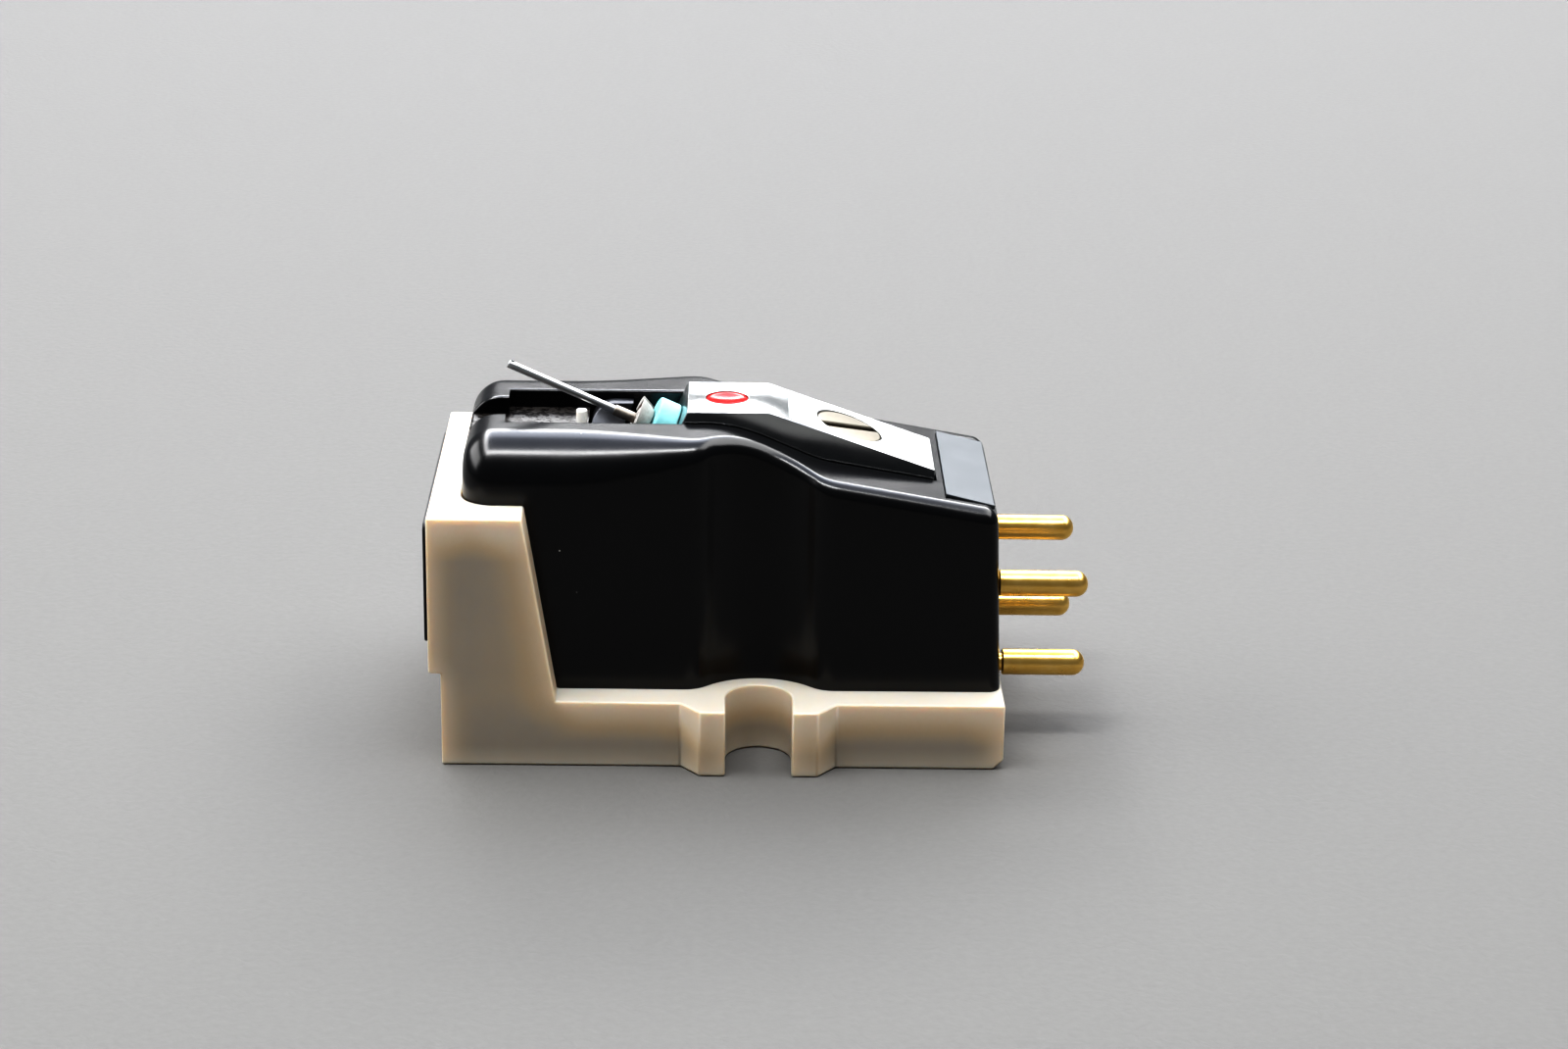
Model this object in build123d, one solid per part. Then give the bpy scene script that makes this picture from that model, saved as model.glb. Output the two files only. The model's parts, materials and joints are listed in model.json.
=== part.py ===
"""Moving-coil phono cartridge, lying on its mounting face with the stylus up.

X runs rearward to the terminal pins and Z runs up. The origin is on the mounting face,
midway between the two screw notches. All sizes are in millimetres.
"""

from build123d import *
from math import cos, radians, sin, sqrt, tan
import os

# Clearances
moulding_fit = 0.03
slide_fit = 0.06
bore_fit = 0.02
seal_fit = 0.015

# Mounting base, one ivory moulding
base_thickness = 2.785
base_ledge = 1.39
base_front = 12.71
base_rear = 9.89
base_rear_chamfer = 0.4
ear_reach = 0.92
ear_half_length = 2.37
ear_taper = 0.76
notch_radius = 1.335
notch_center = 5.99
cover_front = 13.2
cover_step = 3.93
cover_rise = 7.735
arm_top_reach = 9.43
arm_foot_reach = 8.13

# Blank plate on the front cover
front_plate_thickness = 0.2
front_plate_half_width = 5.75
front_plate_height = 5.05
front_plate_margin = 0.57
front_plate_corner = 0.3

# Black shell
shell_front = 11.95
shell_rear = 9.78
shell_half_width = 5.24
shell_height = 10.265
shell_draft = 2.3
shell_front_edge = 1.3
shell_rear_edge = 0.5
front_shoulder = 1.95
rear_shoulder = 0.6
shoulder_blend_start = -8.0
shoulder_blend_end = -0.5
crown_bend_x = -1.05
crown_bend_reach = 1.25
ramp_angle = 23.2
tail_bend_x = 2.38
tail_bend_reach = 0.55
tail_angle = 9.84
groove_radius = 3.0
groove_depth = 1.25
groove_lip = 1.3
foot_trim = 0.5
neck_spans = 4
lip_spans = 3
groove_spans = 12

# Mouth, channel and hollows of the shell
front_wall = 1.6
sight_notch_half_width = 1.05
mouth_depth = 0.75
core_wall = 1.3
core_web = 1.25
core_ceiling = 1.3
terminal_hollow_front = 4.6
terminal_hollow_half_width = 4.15
rear_wall = 1.4
wire_slot_width = 0.45
wire_slot_height = 1.1

# Rear label
label_front = 7.4
label_rear = 9.37
label_half_width = 3.91
label_thickness = 0.25
label_angle = 13.7
label_stand = 0.13

# Stylus arm, measured along its slanted axis from the root of the cantilever
arm_angle = 24.0
arm_root_x = -5.07
arm_drop = 0.55
tube_radius = 0.165
tube_bore = 0.1
tube_length = 5.72
tube_insertion = 0.75
tube_plug = 0.55
sleeve_radius = 0.225
sleeve_length = 1.02
sleeve_seat = 0.12
armature_front = -0.1
armature_rear = 0.48
armature_front_radius = 1.0
armature_rear_radius = 0.72
armature_hub_half_width = 0.38
armature_cap_reach = 0.63
armature_cap_gap = 0.16
armature_arm_width = 0.28
armature_arm_thickness = 0.2
winding_depth = 0.15
tip_shank_radius = 0.075
tip_inset = 0.2
tip_cone = 0.1
tip_stand = 0.06
tip_point_radius = 0.012

# Damper and suspension
damper_radius = 1.25
damper_gap = 0.08
damper_bore = 0.16
wire_radius = 0.06
wire_seat = 0.16
wire_hole = 0.14
pole_rod_radius = 0.6
pole_rod_length = 3.75

# Magnetic circuit
yoke_half_width = 1.98
yoke_front_x = -3.0
yoke_stand = 0.45
yoke_bend_x = 0.31
yoke_rear_x = 7.06
yoke_slope = 19.2
yoke_arm_thickness = 1.6
yoke_nose_depth = 1.35
leg_rear_x = 0.6
leg_thickness = 1.6
stack_lift = 0.5
magnet_half_width = 2.3
magnet_side_gap = 0.45
magnet_top_gap = 0.3
magnet_ceiling = 0.7
pole_front_x = -7.0
pole_rear_x = -4.9
pole_half_width = 2.0
pole_drop = 0.3
pole_brow = 0.95
pole_gap = 0.15
pole_notch_radius = 1.3

# Screws and seal
seal_x = -1.4
seal_radius = 0.86
seal_depth = 0.6
seal_sink = 0.06
seal_dish_radius = 1.9
set_screw_radius = 0.7
set_screw_length = 0.8
dog_radius = 0.3
yoke_screw_x = 3.62
yoke_screw_head_radius = 1.375
yoke_screw_head = 0.75
yoke_screw_sink = 0.04
yoke_screw_shank = 0.8
yoke_screw_engagement = 2.2
screw_slot_width = 0.42
screw_slot_depth = 0.35
screw_slot_turn = 32.0

# Pins, block and leads
pin_radius = 0.53
pin_neck = 0.17
pin_root_gap = 0.06
pin_spacing = 3.27
pin_rise = 3.45
pin_tip_x = 13.33
pin_tip_round = 0.5
pin_tail_half_width = 0.28
pin_tail_length = 2.2
block_thickness = 1.2
block_half_width = 4.05
block_margin = 0.53
block_headroom = 0.07
lead_radius = 0.06
lead_ramp = 0.22
lead_start_side = 0.9
lead_start_rise = 0.55
lead_start_reach = 0.4
lead_inset = 0.7
lead_rise = 0.45
lead_pitch = 0.4

# Sight peg
peg_radius = 0.23
peg_height = 0.6
peg_gap = 0.09

# Levels and places that follow from the sizes above
deck = base_thickness
crown = deck + shell_height
base_half_width = shell_half_width + base_ledge
mouth_floor = crown - mouth_depth
channel_half_width = pole_half_width + slide_fit
arm_root_z = crown - arm_drop
yoke_top = crown + yoke_stand
pole_top = crown - pole_drop
stack_floor = deck + stack_lift
leg_front_x = leg_rear_x - leg_thickness
slope = tan(radians(yoke_slope))
arm_drop_vertical = yoke_arm_thickness / cos(radians(yoke_slope))
lower_pin_z = deck + pin_radius + bore_fit
upper_pin_z = lower_pin_z + pin_rise
pin_neck_radius = pin_radius - pin_neck
block_top = upper_pin_z + pin_radius + block_margin
terminal_hollow_rear = shell_rear - rear_wall
cavity_half_width = magnet_half_width + magnet_side_gap
lead_side = magnet_half_width + magnet_side_gap / 2

# The stylus arm's own frame: its z follows the arm to the rear, its y leans up
arm_frame = Location(Plane(
    origin=(arm_root_x, 0, arm_root_z),
    x_dir=(0, 1, 0),
    z_dir=(cos(radians(arm_angle)), 0, -sin(radians(arm_angle))),
))


def arm_point(along, above=0.0):
    """The (x, z) place of a point on the stylus arm's middle plane."""
    turn = radians(arm_angle)
    return (
        arm_root_x + along * cos(turn) + above * sin(turn),
        arm_root_z - along * sin(turn) + above * cos(turn),
    )


def arm_station(x, z):
    """How far along the stylus arm's axis a point of the middle plane lies."""
    turn = radians(arm_angle)
    return (x - arm_root_x) * cos(turn) - (z - arm_root_z) * sin(turn)


def leaning_x(along, z):
    """The x at height z of the face square to the arm at a station along it."""
    x, root_z = arm_point(along)
    return x + (z - root_z) * tan(radians(arm_angle))


yoke_face = arm_station(yoke_front_x, yoke_top)
pole_face = armature_front - pole_gap
damper_front = armature_rear + damper_gap
damper_rear = yoke_face - bore_fit
yoke_nose = arm_point(yoke_face, -yoke_nose_depth)
magnet_top = yoke_nose[1] - (leg_front_x - yoke_nose[0]) * tan(radians(arm_angle)) - magnet_top_gap
cavity_ceiling = magnet_top + magnet_ceiling


def block(x0, x1, half_width, z0, z1):
    """A block centred on the middle plane."""
    return Pos((x0 + x1) / 2, 0, (z0 + z1) / 2) * Box(x1 - x0, 2 * half_width, z1 - z0)


def side_profile(points, half_width):
    """A solid with an outline in x and z, as wide to either side of the middle plane."""
    outline = Polyline([(x, 0, z) for x, z in points], close=True)
    return extrude(make_face(outline), amount=half_width, dir=(0, 1, 0), both=True)


def rod(radius, start, end):
    """A round rod on the stylus arm's axis, between two stations."""
    return arm_frame * Pos(0, 0, (start + end) / 2) * Cylinder(radius, end - start)


def upright(radius, x, y, z0, z1):
    """A round rod standing upright."""
    return Pos(x, y, (z0 + z1) / 2) * Cylinder(radius, z1 - z0)


def level(radius, x0, x1, y, z):
    """A round rod lying along x."""
    return Pos((x0 + x1) / 2, y, z) * Rot(0, 90, 0) * Cylinder(radius, x1 - x0)


def tail(half_width, x0, x1, y, z):
    """A square bar lying along x."""
    return Pos((x0 + x1) / 2, y, z) * Box(x1 - x0, 2 * half_width, 2 * half_width)


def eased(x, corner, reach):
    """The distance past a corner, eased over a reach to either side of it."""
    start = corner - reach
    if x <= start:
        return 0.0
    if x >= corner + reach:
        return x - corner
    return (x - start) ** 2 / (4 * reach)


def crown_at(x):
    """Height of the shell's crown: level, down a ramp, then a gentler tail."""
    ramp = tan(radians(ramp_angle))
    tail = tan(radians(tail_angle))
    fall = ramp * eased(x, crown_bend_x, crown_bend_reach)
    lift = (ramp - tail) * eased(x, tail_bend_x, tail_bend_reach)
    return crown - fall + lift


# The groove's lip starts at lip_x from the notch line and runs into the groove at meet_x
lip_x = sqrt((groove_radius + groove_lip) ** 2 - (groove_radius - groove_depth + groove_lip) ** 2)
meet_x = lip_x * groove_radius / (groove_radius + groove_lip)


def half_width_at(x):
    """Half the shell's width at the deck, with the round screw groove and its soft lips."""
    away = abs(x)
    if away >= lip_x:
        return shell_half_width
    if away >= meet_x:
        return shell_half_width - groove_lip + sqrt(groove_lip ** 2 - (lip_x - away) ** 2)
    return shell_half_width - groove_depth + groove_radius - sqrt(groove_radius ** 2 - away ** 2)


def shoulder_at(x):
    """Radius of the shell's shoulder, large in front and small behind the groove."""
    share = (x - shoulder_blend_start) / (shoulder_blend_end - shoulder_blend_start)
    share = min(max(share, 0.0), 1.0)
    share = share * share * (3 - 2 * share)
    return front_shoulder + (rear_shoulder - front_shoulder) * share


def shell_section(x):
    """The shell's outer section at x: drafted sides, round shoulders and a level crown."""
    draft = radians(shell_draft)
    foot = half_width_at(x)
    top = crown_at(x)
    radius = shoulder_at(x)
    center_z = top - radius
    center_y = foot - (center_z - deck) * tan(draft) - radius / cos(draft)

    def on_shoulder(angle):
        return center_y + radius * cos(angle), center_z + radius * sin(angle)

    low = on_shoulder(draft)
    middle = on_shoulder((draft + radians(90)) / 2)
    high = on_shoulder(radians(90))
    toe = (foot + foot_trim * tan(draft), deck - foot_trim)
    right = [(x, y, z) for y, z in (toe, low, middle, high)]
    left = [(x, -y, z) for y, z in (toe, low, middle, high)]
    edges = [
        Line(left[0], right[0]),
        Line(right[0], right[1]),
        ThreePointArc(right[1], right[2], right[3]),
        Line(right[3], left[3]),
        ThreePointArc(left[3], left[2], left[1]),
        Line(left[1], left[0]),
    ]
    return make_face(edges)


def evenly(start, end, spans):
    """Places that divide a stretch into equal spans, without its end."""
    return [start + (end - start) * index / spans for index in range(spans)]


def shell_span(stations):
    """The shell's outer form through sections at the given places."""
    return loft([shell_section(x) for x in stations])


def shell_outside():
    """The shell's outer form: a level front, a narrowing neck, a grooved waist and a tail."""
    loft_front = shoulder_blend_start
    front = extrude(shell_section(loft_front), amount=shell_front + loft_front, dir=(-1, 0, 0))
    front_face = front.faces().sort_by(Axis.X)[0]
    foot_edge = front_face.edges().sort_by(Axis.Z)[0]
    front_edges = [edge for edge in front_face.edges() if edge is not foot_edge]
    front = fillet(ShapeList(front_edges), shell_front_edge)

    neck = shell_span(evenly(loft_front, -lip_x, neck_spans) + [-lip_x])
    waist_rear = max(lip_x, tail_bend_x + tail_bend_reach)
    stations = evenly(-lip_x, -meet_x, lip_spans)
    stations += evenly(-meet_x, meet_x, groove_spans)
    stations += evenly(meet_x, waist_rear, lip_spans)
    waist = shell_span(stations + [waist_rear])

    tail_fall = (1, 0, -tan(radians(tail_angle)))
    rear = extrude(shell_section(waist_rear), amount=shell_rear, dir=tail_fall)
    draft = radians(shell_draft)
    rear_plane = Plane(origin=(shell_rear, 0, deck), x_dir=(0, 1, 0), z_dir=(cos(draft), 0, sin(draft)))
    rear = split(rear, bisect_by=rear_plane, keep=Keep.BOTTOM)
    rear_face = rear.faces().sort_by(Axis.X)[-1]
    foot_edge = rear_face.edges().sort_by(Axis.Z)[0]
    rear_edges = [edge for edge in rear_face.edges() if edge is not foot_edge]
    rear = fillet(ShapeList(rear_edges), shell_rear_edge)
    return split(front + neck + waist + rear, bisect_by=Plane.XY.offset(deck), keep=Keep.TOP)


def yoke_outline(grow=0.0):
    """Side outline of the rear yoke's sloped arm and leg, grown for its seat."""
    rear = yoke_rear_x + grow
    underside = yoke_top - arm_drop_vertical
    return [
        (yoke_front_x, yoke_top),
        (yoke_bend_x, yoke_top),
        (rear, yoke_top - slope * (rear - yoke_bend_x)),
        (rear, underside - slope * (rear - yoke_bend_x)),
        (leg_rear_x + grow, underside - slope * (leg_rear_x + grow - yoke_bend_x)),
        (leg_rear_x + grow, stack_floor),
        (leg_front_x, stack_floor),
        (leg_front_x, magnet_top + magnet_top_gap),
        yoke_nose,
    ]


def label_outline(front, rear, thickness):
    """Side outline of the rear label, or of the room that is cut for it."""
    pitch = tan(radians(label_angle))
    seat = crown_at(label_front) + label_stand - label_thickness / cos(radians(label_angle))
    front_z = seat - pitch * (front - label_front)
    rear_z = seat - pitch * (rear - label_front)
    height = thickness / cos(radians(label_angle))
    return [(front, front_z), (front, front_z + height), (rear, rear_z + height), (rear, rear_z)]


def pin_places():
    """The four pins by channel and lead: name, y and z."""
    return [
        ("left_signal", pin_spacing, upper_pin_z),
        ("left_ground", pin_spacing, lower_pin_z),
        ("right_signal", -pin_spacing, upper_pin_z),
        ("right_ground", -pin_spacing, lower_pin_z),
    ]


def body_shell():
    shell = shell_outside()
    inner_front = -shell_front + front_wall
    above = yoke_top + 1
    room = channel_half_width

    # Mouth round the cantilever, with the sight notch in the front wall
    shell -= block(inner_front, pole_front_x, room, mouth_floor, above)
    shell -= block(-shell_front - 1, inner_front, sight_notch_half_width, mouth_floor, above)

    # Well of the magnetic circuit, open to the deck, and the yoke's sloped seat
    shell -= block(pole_front_x - slide_fit, leg_rear_x + slide_fit, room, deck, above)
    shell -= side_profile(yoke_outline(slide_fit), room)
    lid = side_profile([
        (yoke_front_x, yoke_top),
        (yoke_front_x, above),
        (yoke_rear_x + slide_fit, above),
        (yoke_rear_x + slide_fit, yoke_top - slope * (yoke_rear_x - yoke_bend_x) - slide_fit),
        (yoke_bend_x, yoke_top - slide_fit),
    ], room)
    shell -= lid
    shell -= block(
        pole_front_x - slide_fit, leg_rear_x + slide_fit, cavity_half_width, deck, cavity_ceiling)

    # Hollows that keep the moulding's walls even
    front_core_half_width = shell_half_width - core_wall - (mouth_floor - deck) * tan(radians(shell_draft))
    shell -= block(
        inner_front, pole_front_x - core_web, front_core_half_width, deck, mouth_floor - core_ceiling)
    shell -= block(
        terminal_hollow_front, terminal_hollow_rear, terminal_hollow_half_width, deck,
        block_top + block_headroom)
    for side in (-1, 1):
        shell -= Pos(0, side * lead_side, 0) * block(
            leg_rear_x, terminal_hollow_front, wire_slot_width / 2, deck, deck + wire_slot_height)

    # Pin bores: round above, open to the deck below
    for name, y, z in pin_places():
        shell -= level(pin_neck_radius + bore_fit, terminal_hollow_rear, shell_rear + 1, y, z)
        if z == lower_pin_z:
            shell -= Pos(0, y, 0) * block(
                terminal_hollow_rear, shell_rear + 1, pin_neck_radius + bore_fit, deck, z)

    # Seat of the label and the blind hole of the yoke screw
    label_room = label_outline(label_front - bore_fit, shell_rear + 1, shell_height)
    shell -= side_profile(label_room, label_half_width + slide_fit)
    shell -= slope_frame() * Pos(0, 0, -screw_reach() / 2) * Cylinder(
        yoke_screw_shank + bore_fit, screw_reach() + 2 * bore_fit)
    return shell


def mounting_base():
    ear = base_half_width + ear_reach
    ear_root = ear_half_length + ear_taper
    half = [
        (-base_front, base_half_width),
        (-ear_root, base_half_width),
        (-ear_half_length, ear),
        (ear_half_length, ear),
        (ear_root, base_half_width),
        (base_rear, base_half_width),
    ]
    outline = half + [(x, -y) for x, y in reversed(half)]
    plate = extrude(make_face(Polyline(outline, close=True)), amount=base_thickness)
    rear_foot = plate.edges().filter_by(Axis.Y).sort_by(Axis.X)[-2:].sort_by(Axis.Z)[0]
    plate = chamfer(rear_foot, base_rear_chamfer)

    cover = side_profile([
        (-base_front, 0),
        (-base_front, cover_step),
        (-cover_front, cover_step),
        (-cover_front, deck + cover_rise),
        (-arm_top_reach, deck + cover_rise),
        (-arm_foot_reach, deck),
        (-arm_foot_reach, 0),
    ], base_half_width)
    base = plate + cover

    # Pocket that the drafted shell stands in
    foot = shell_half_width + moulding_fit
    lid = foot - (cover_rise + 1) * tan(radians(shell_draft))
    pocket_end = make_face(Polyline([
        (base_rear + 1, foot, deck),
        (base_rear + 1, lid, deck + cover_rise + 1),
        (base_rear + 1, -lid, deck + cover_rise + 1),
        (base_rear + 1, -foot, deck),
    ], close=True))
    pocket = extrude(pocket_end, amount=base_rear + 1 + shell_front + moulding_fit, dir=(-1, 0, 0))
    front_face = pocket.faces().sort_by(Axis.X)[0]
    corners = front_face.edges().sort_by(Axis.Y)
    pocket = fillet(ShapeList([corners[0], corners[-1]]), shell_front_edge + moulding_fit)
    base -= pocket

    # Screw notches, open to the sides
    for side in (-1, 1):
        base -= upright(notch_radius, 0, side * notch_center, -1, base_thickness + 1)
        base -= Pos(0, side * (notch_center + ear), base_thickness / 2) * Box(
            2 * notch_radius, 2 * ear, base_thickness + 2)
    return base


def front_plate():
    plate = block(
        -cover_front - front_plate_thickness,
        -cover_front,
        front_plate_half_width,
        deck + cover_rise - front_plate_margin - front_plate_height,
        deck + cover_rise - front_plate_margin,
    )
    return fillet(plate.edges().filter_by(Axis.X), front_plate_corner)


def rear_label():
    return side_profile(label_outline(label_front, label_rear, label_thickness), label_half_width)


def magnet():
    return block(pole_rear_x, leg_front_x, magnet_half_width, stack_floor, magnet_top)


def front_pole():
    throat_x = leaning_x(pole_face, pole_top - pole_notch_radius - pole_brow / 2)
    throat_z = pole_top - pole_notch_radius - pole_brow / 2
    pole = side_profile([
        (pole_front_x, stack_floor),
        (pole_front_x, pole_top),
        (leaning_x(pole_face, pole_top), pole_top),
        (throat_x, throat_z),
        (throat_x, magnet_top + magnet_top_gap),
        (pole_rear_x, magnet_top + magnet_top_gap),
        (pole_rear_x, stack_floor),
    ], pole_half_width)
    brow = pole.edges().filter_by(Axis.Y).group_by(Axis.Z)[-1].sort_by(Axis.X)[0]
    pole = fillet(brow, pole_brow)
    # Round-bottomed notch that the cantilever's root passes through
    reach = pole_rear_x - pole_front_x + 4
    notch = rod(pole_notch_radius, -reach, reach)
    notch += arm_frame * Pos(0, reach / 2, 0) * Box(2 * pole_notch_radius, reach, 2 * reach)
    return pole - notch


def slope_frame():
    """The yoke screw's frame: on the sloped face, its z out of that face."""
    z = yoke_top - slope * (yoke_screw_x - yoke_bend_x)
    turn = radians(yoke_slope)
    return Location(Plane(origin=(yoke_screw_x, 0, z), x_dir=(cos(turn), 0, -sin(turn)),
                          z_dir=(sin(turn), 0, cos(turn))))


def screw_reach():
    """Depth of the yoke screw's end below the sloped face."""
    return yoke_arm_thickness + yoke_screw_engagement


def rear_yoke():
    yoke = side_profile(yoke_outline(), yoke_half_width)
    yoke -= rod(pole_rod_radius + bore_fit, yoke_face - 1, yoke_face + pole_rod_length + bore_fit)
    yoke -= upright(seal_radius, seal_x, 0, yoke_top - seal_depth, yoke_top + 1)
    yoke -= upright(set_screw_radius + bore_fit, seal_x, 0, rod_top(), yoke_top)
    head_room = yoke_screw_head + yoke_screw_sink
    yoke -= slope_frame() * Pos(0, 0, -head_room / 2) * Cylinder(
        yoke_screw_head_radius + bore_fit, head_room)
    yoke -= slope_frame() * Cylinder(yoke_screw_shank + bore_fit, 2 * screw_reach())
    return yoke


def rod_top():
    """Height of the pole rod's top line under the set screw."""
    along = (seal_x - arm_root_x) / cos(radians(arm_angle))
    return arm_point(along)[1] + pole_rod_radius / cos(radians(arm_angle))


def pole_rod():
    centre = rod(pole_rod_radius, yoke_face, yoke_face + pole_rod_length)
    return centre - rod(wire_radius + bore_fit, yoke_face - 1, yoke_face + pole_rod_length + 1)


def set_screw():
    top = yoke_top - seal_depth
    point = rod_top() + dog_radius * tan(radians(arm_angle)) + bore_fit
    screw = upright(set_screw_radius, seal_x, 0, top - set_screw_length, top)
    screw += upright(dog_radius, seal_x, 0, point, top - set_screw_length)
    return screw - Pos(seal_x, 0, top) * Box(screw_slot_width, 3 * set_screw_radius, screw_slot_depth)


def lacquer_seal():
    floor = yoke_top - seal_depth + seal_fit
    drop = upright(seal_radius - seal_fit, seal_x, 0, floor, yoke_top - seal_sink)
    dish_z = yoke_top - seal_sink + sqrt(seal_dish_radius ** 2 - (seal_radius - seal_fit) ** 2)
    return drop - Pos(seal_x, 0, dish_z + seal_fit) * Sphere(seal_dish_radius)


def yoke_screw():
    head_top = -yoke_screw_sink
    head_floor = head_top - yoke_screw_head + bore_fit
    head = Pos(0, 0, (head_top + head_floor) / 2) * Cylinder(yoke_screw_head_radius, head_top - head_floor)
    shank = Pos(0, 0, (head_floor - screw_reach()) / 2) * Cylinder(
        yoke_screw_shank, screw_reach() + head_floor)
    slot = Pos(0, 0, head_top) * Rot(0, 0, screw_slot_turn) * Box(
        4 * yoke_screw_head_radius, screw_slot_width, 2 * screw_slot_depth)
    return slope_frame() * (head + shank - slot)


def suspension_wire():
    return rod(wire_radius, wire_seat, yoke_face + pole_rod_length)


def damper():
    ring = rod(damper_radius, damper_front, damper_rear)
    return ring - rod(damper_bore, damper_front - 1, damper_rear + 1)


def armature():
    """Cross-armed former: a square hub, four arms and a rim cap on each arm."""
    length = armature_rear - armature_front
    middle = (armature_front + armature_rear) / 2
    reach = 2 * armature_cap_reach
    envelope = Cone(armature_front_radius, armature_rear_radius, length)
    former = envelope - Rot(0, 0, 45) * Box(reach, reach, length)
    for turn in (0, 90):
        former -= Rot(0, 0, turn) * Box(armature_cap_gap, 2 * armature_front_radius, length)
    former += Rot(0, 0, 45) * Box(2 * armature_hub_half_width, 2 * armature_hub_half_width, length)
    for turn in (45, 135):
        former += Rot(0, 0, turn) * Box(reach, armature_arm_width, armature_arm_thickness)
    former = arm_frame * Pos(0, 0, middle) * former
    former -= rod(sleeve_radius + bore_fit / 2, armature_front - 1, sleeve_seat + bore_fit)
    return former - rod(wire_hole, sleeve_seat, armature_rear + 1)


def winding(turn):
    """One arm's winding, a squared sleeve between the hub and the rim cap."""
    inner = armature_hub_half_width + bore_fit
    outer = armature_cap_reach - bore_fit
    middle = (armature_front + armature_rear) / 2
    sleeve = Box(outer - inner, armature_arm_width + 2 * winding_depth,
                 armature_arm_thickness + 2 * winding_depth)
    sleeve -= Box(outer, armature_arm_width + bore_fit, armature_arm_thickness + bore_fit)
    return arm_frame * Pos(0, 0, middle) * Rot(0, 0, turn) * Pos((outer + inner) / 2, 0, 0) * sleeve


def coil(turn):
    """A channel's coil, wound on two opposite arms of the former."""
    return Compound(children=[winding(turn), winding(turn + 180)])


def cantilever_sleeve():
    sleeve = rod(sleeve_radius, -sleeve_length, sleeve_seat)
    return sleeve - rod(tube_radius + bore_fit / 2, -sleeve_length - 1, sleeve_seat + 1)


def cantilever_tube():
    """A thin tube with a solid free end that carries the tip."""
    start = -tube_length
    tube = rod(tube_radius, start, -sleeve_length + tube_insertion)
    tube -= rod(tube_bore, start + tube_plug, 1)
    x, z = tip_place()
    return tube - upright(tip_shank_radius + bore_fit / 2, x, 0, z - 1, z + 1)


def tip_place():
    """The (x, z) place where the stylus tip crosses the tube's axis."""
    return arm_point(tip_inset - tube_length)


def stylus_tip():
    """A diamond shank set upright through the tube's end, ground to a point."""
    x, z = tip_place()
    under = z - tube_radius
    shoulder = z + tube_radius / cos(radians(arm_angle)) + tip_stand - tip_cone
    shank = upright(tip_shank_radius, x, 0, under, shoulder)
    return shank + Pos(x, 0, shoulder + tip_cone / 2) * Cone(tip_shank_radius, tip_point_radius, tip_cone)


def terminal_block():
    rear = terminal_hollow_rear - bore_fit
    piece = block(rear - block_thickness, rear, block_half_width, deck + bore_fit, block_top)
    for name, y, z in pin_places():
        piece -= tail(pin_tail_half_width + bore_fit, rear - block_thickness - 1, rear + 1, y, z)
    return piece


def pin_root(z):
    """Where a pin reaches its full size, clear of the shell's rear face and of the base."""
    face = shell_rear - (z - pin_radius - deck) * tan(radians(shell_draft))
    if z == lower_pin_z:
        face = max(face, base_rear)
    return face + pin_root_gap


def terminal_pin(y, z):
    """A round-nosed pin with a neck through the rear wall and a square tail in the block."""
    shoulder = terminal_hollow_rear
    pin = level(pin_radius, pin_root(z), pin_tip_x, y, z)
    tip = pin.edges().filter_by(GeomType.CIRCLE).sort_by(Axis.X)[-1]
    pin = fillet(tip, pin_tip_round)
    pin += level(pin_neck_radius, shoulder, pin_root(z), y, z)
    return pin + tail(pin_tail_half_width, shoulder - pin_tail_length, shoulder, y, z)


def lead_wire(y, z):
    """A coil lead: out under the damper, down beside the magnet and back to a pin's tail.

    A hair-thin wire is drawn with a six-sided section and plain corners.
    """
    side = 1 if y > 0 else -1
    pitch = lead_pitch if z == upper_pin_z else 0
    drop_x = pole_rear_x + lead_inset + pitch
    run_z = deck + lead_rise + pitch
    lane = side * lead_side
    out_z = magnet_top + magnet_ceiling / 2
    turn_x = terminal_hollow_front + lead_rise
    route = [
        (drop_x - lead_start_reach, side * lead_start_side, out_z + lead_start_rise),
        (drop_x - lead_start_reach / 2, side * (lead_start_side + lead_start_rise), out_z),
        (drop_x, lane, out_z),
        (drop_x, lane, run_z),
        (turn_x, lane, run_z),
        (turn_x + lead_ramp, y, z),
        (terminal_hollow_rear - pin_tail_length, y, z),
    ]
    path = Polyline(route)
    section = Plane(origin=path @ 0, z_dir=path % 0) * RegularPolygon(lead_radius, 6)
    return sweep(section, path=path, transition=Transition.RIGHT)


def sight_peg():
    x = pole_front_x - peg_gap - peg_radius
    return upright(peg_radius, x, 0, mouth_floor, mouth_floor + peg_height)


pieces = {
    "mounting_base": mounting_base(),
    "body_shell": body_shell(),
    "front_plate": front_plate(),
    "rear_label": rear_label(),
    "magnet": magnet(),
    "front_pole": front_pole(),
    "rear_yoke": rear_yoke(),
    "pole_rod": pole_rod(),
    "set_screw": set_screw(),
    "lacquer_seal": lacquer_seal(),
    "yoke_screw": yoke_screw(),
    "suspension_wire": suspension_wire(),
    "damper": damper(),
    "armature": armature(),
    "coil_left": coil(45),
    "coil_right": coil(135),
    "cantilever_sleeve": cantilever_sleeve(),
    "cantilever_tube": cantilever_tube(),
    "stylus_tip": stylus_tip(),
    "terminal_block": terminal_block(),
    "sight_peg": sight_peg(),
}
for name, y, z in pin_places():
    pieces["pin_" + name] = terminal_pin(y, z)
    pieces["lead_" + name] = lead_wire(y, z)

os.makedirs("parts", exist_ok=True)
for name, piece in pieces.items():
    export_step(piece, f"parts/{name}.step")
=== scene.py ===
"""Looks of a moving-coil phono cartridge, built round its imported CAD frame.

Forms are written in millimetres in the frame's own axes, X to the rear and Z up, and are
scaled to metres when their mesh is made.
"""

import json
import math

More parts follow.
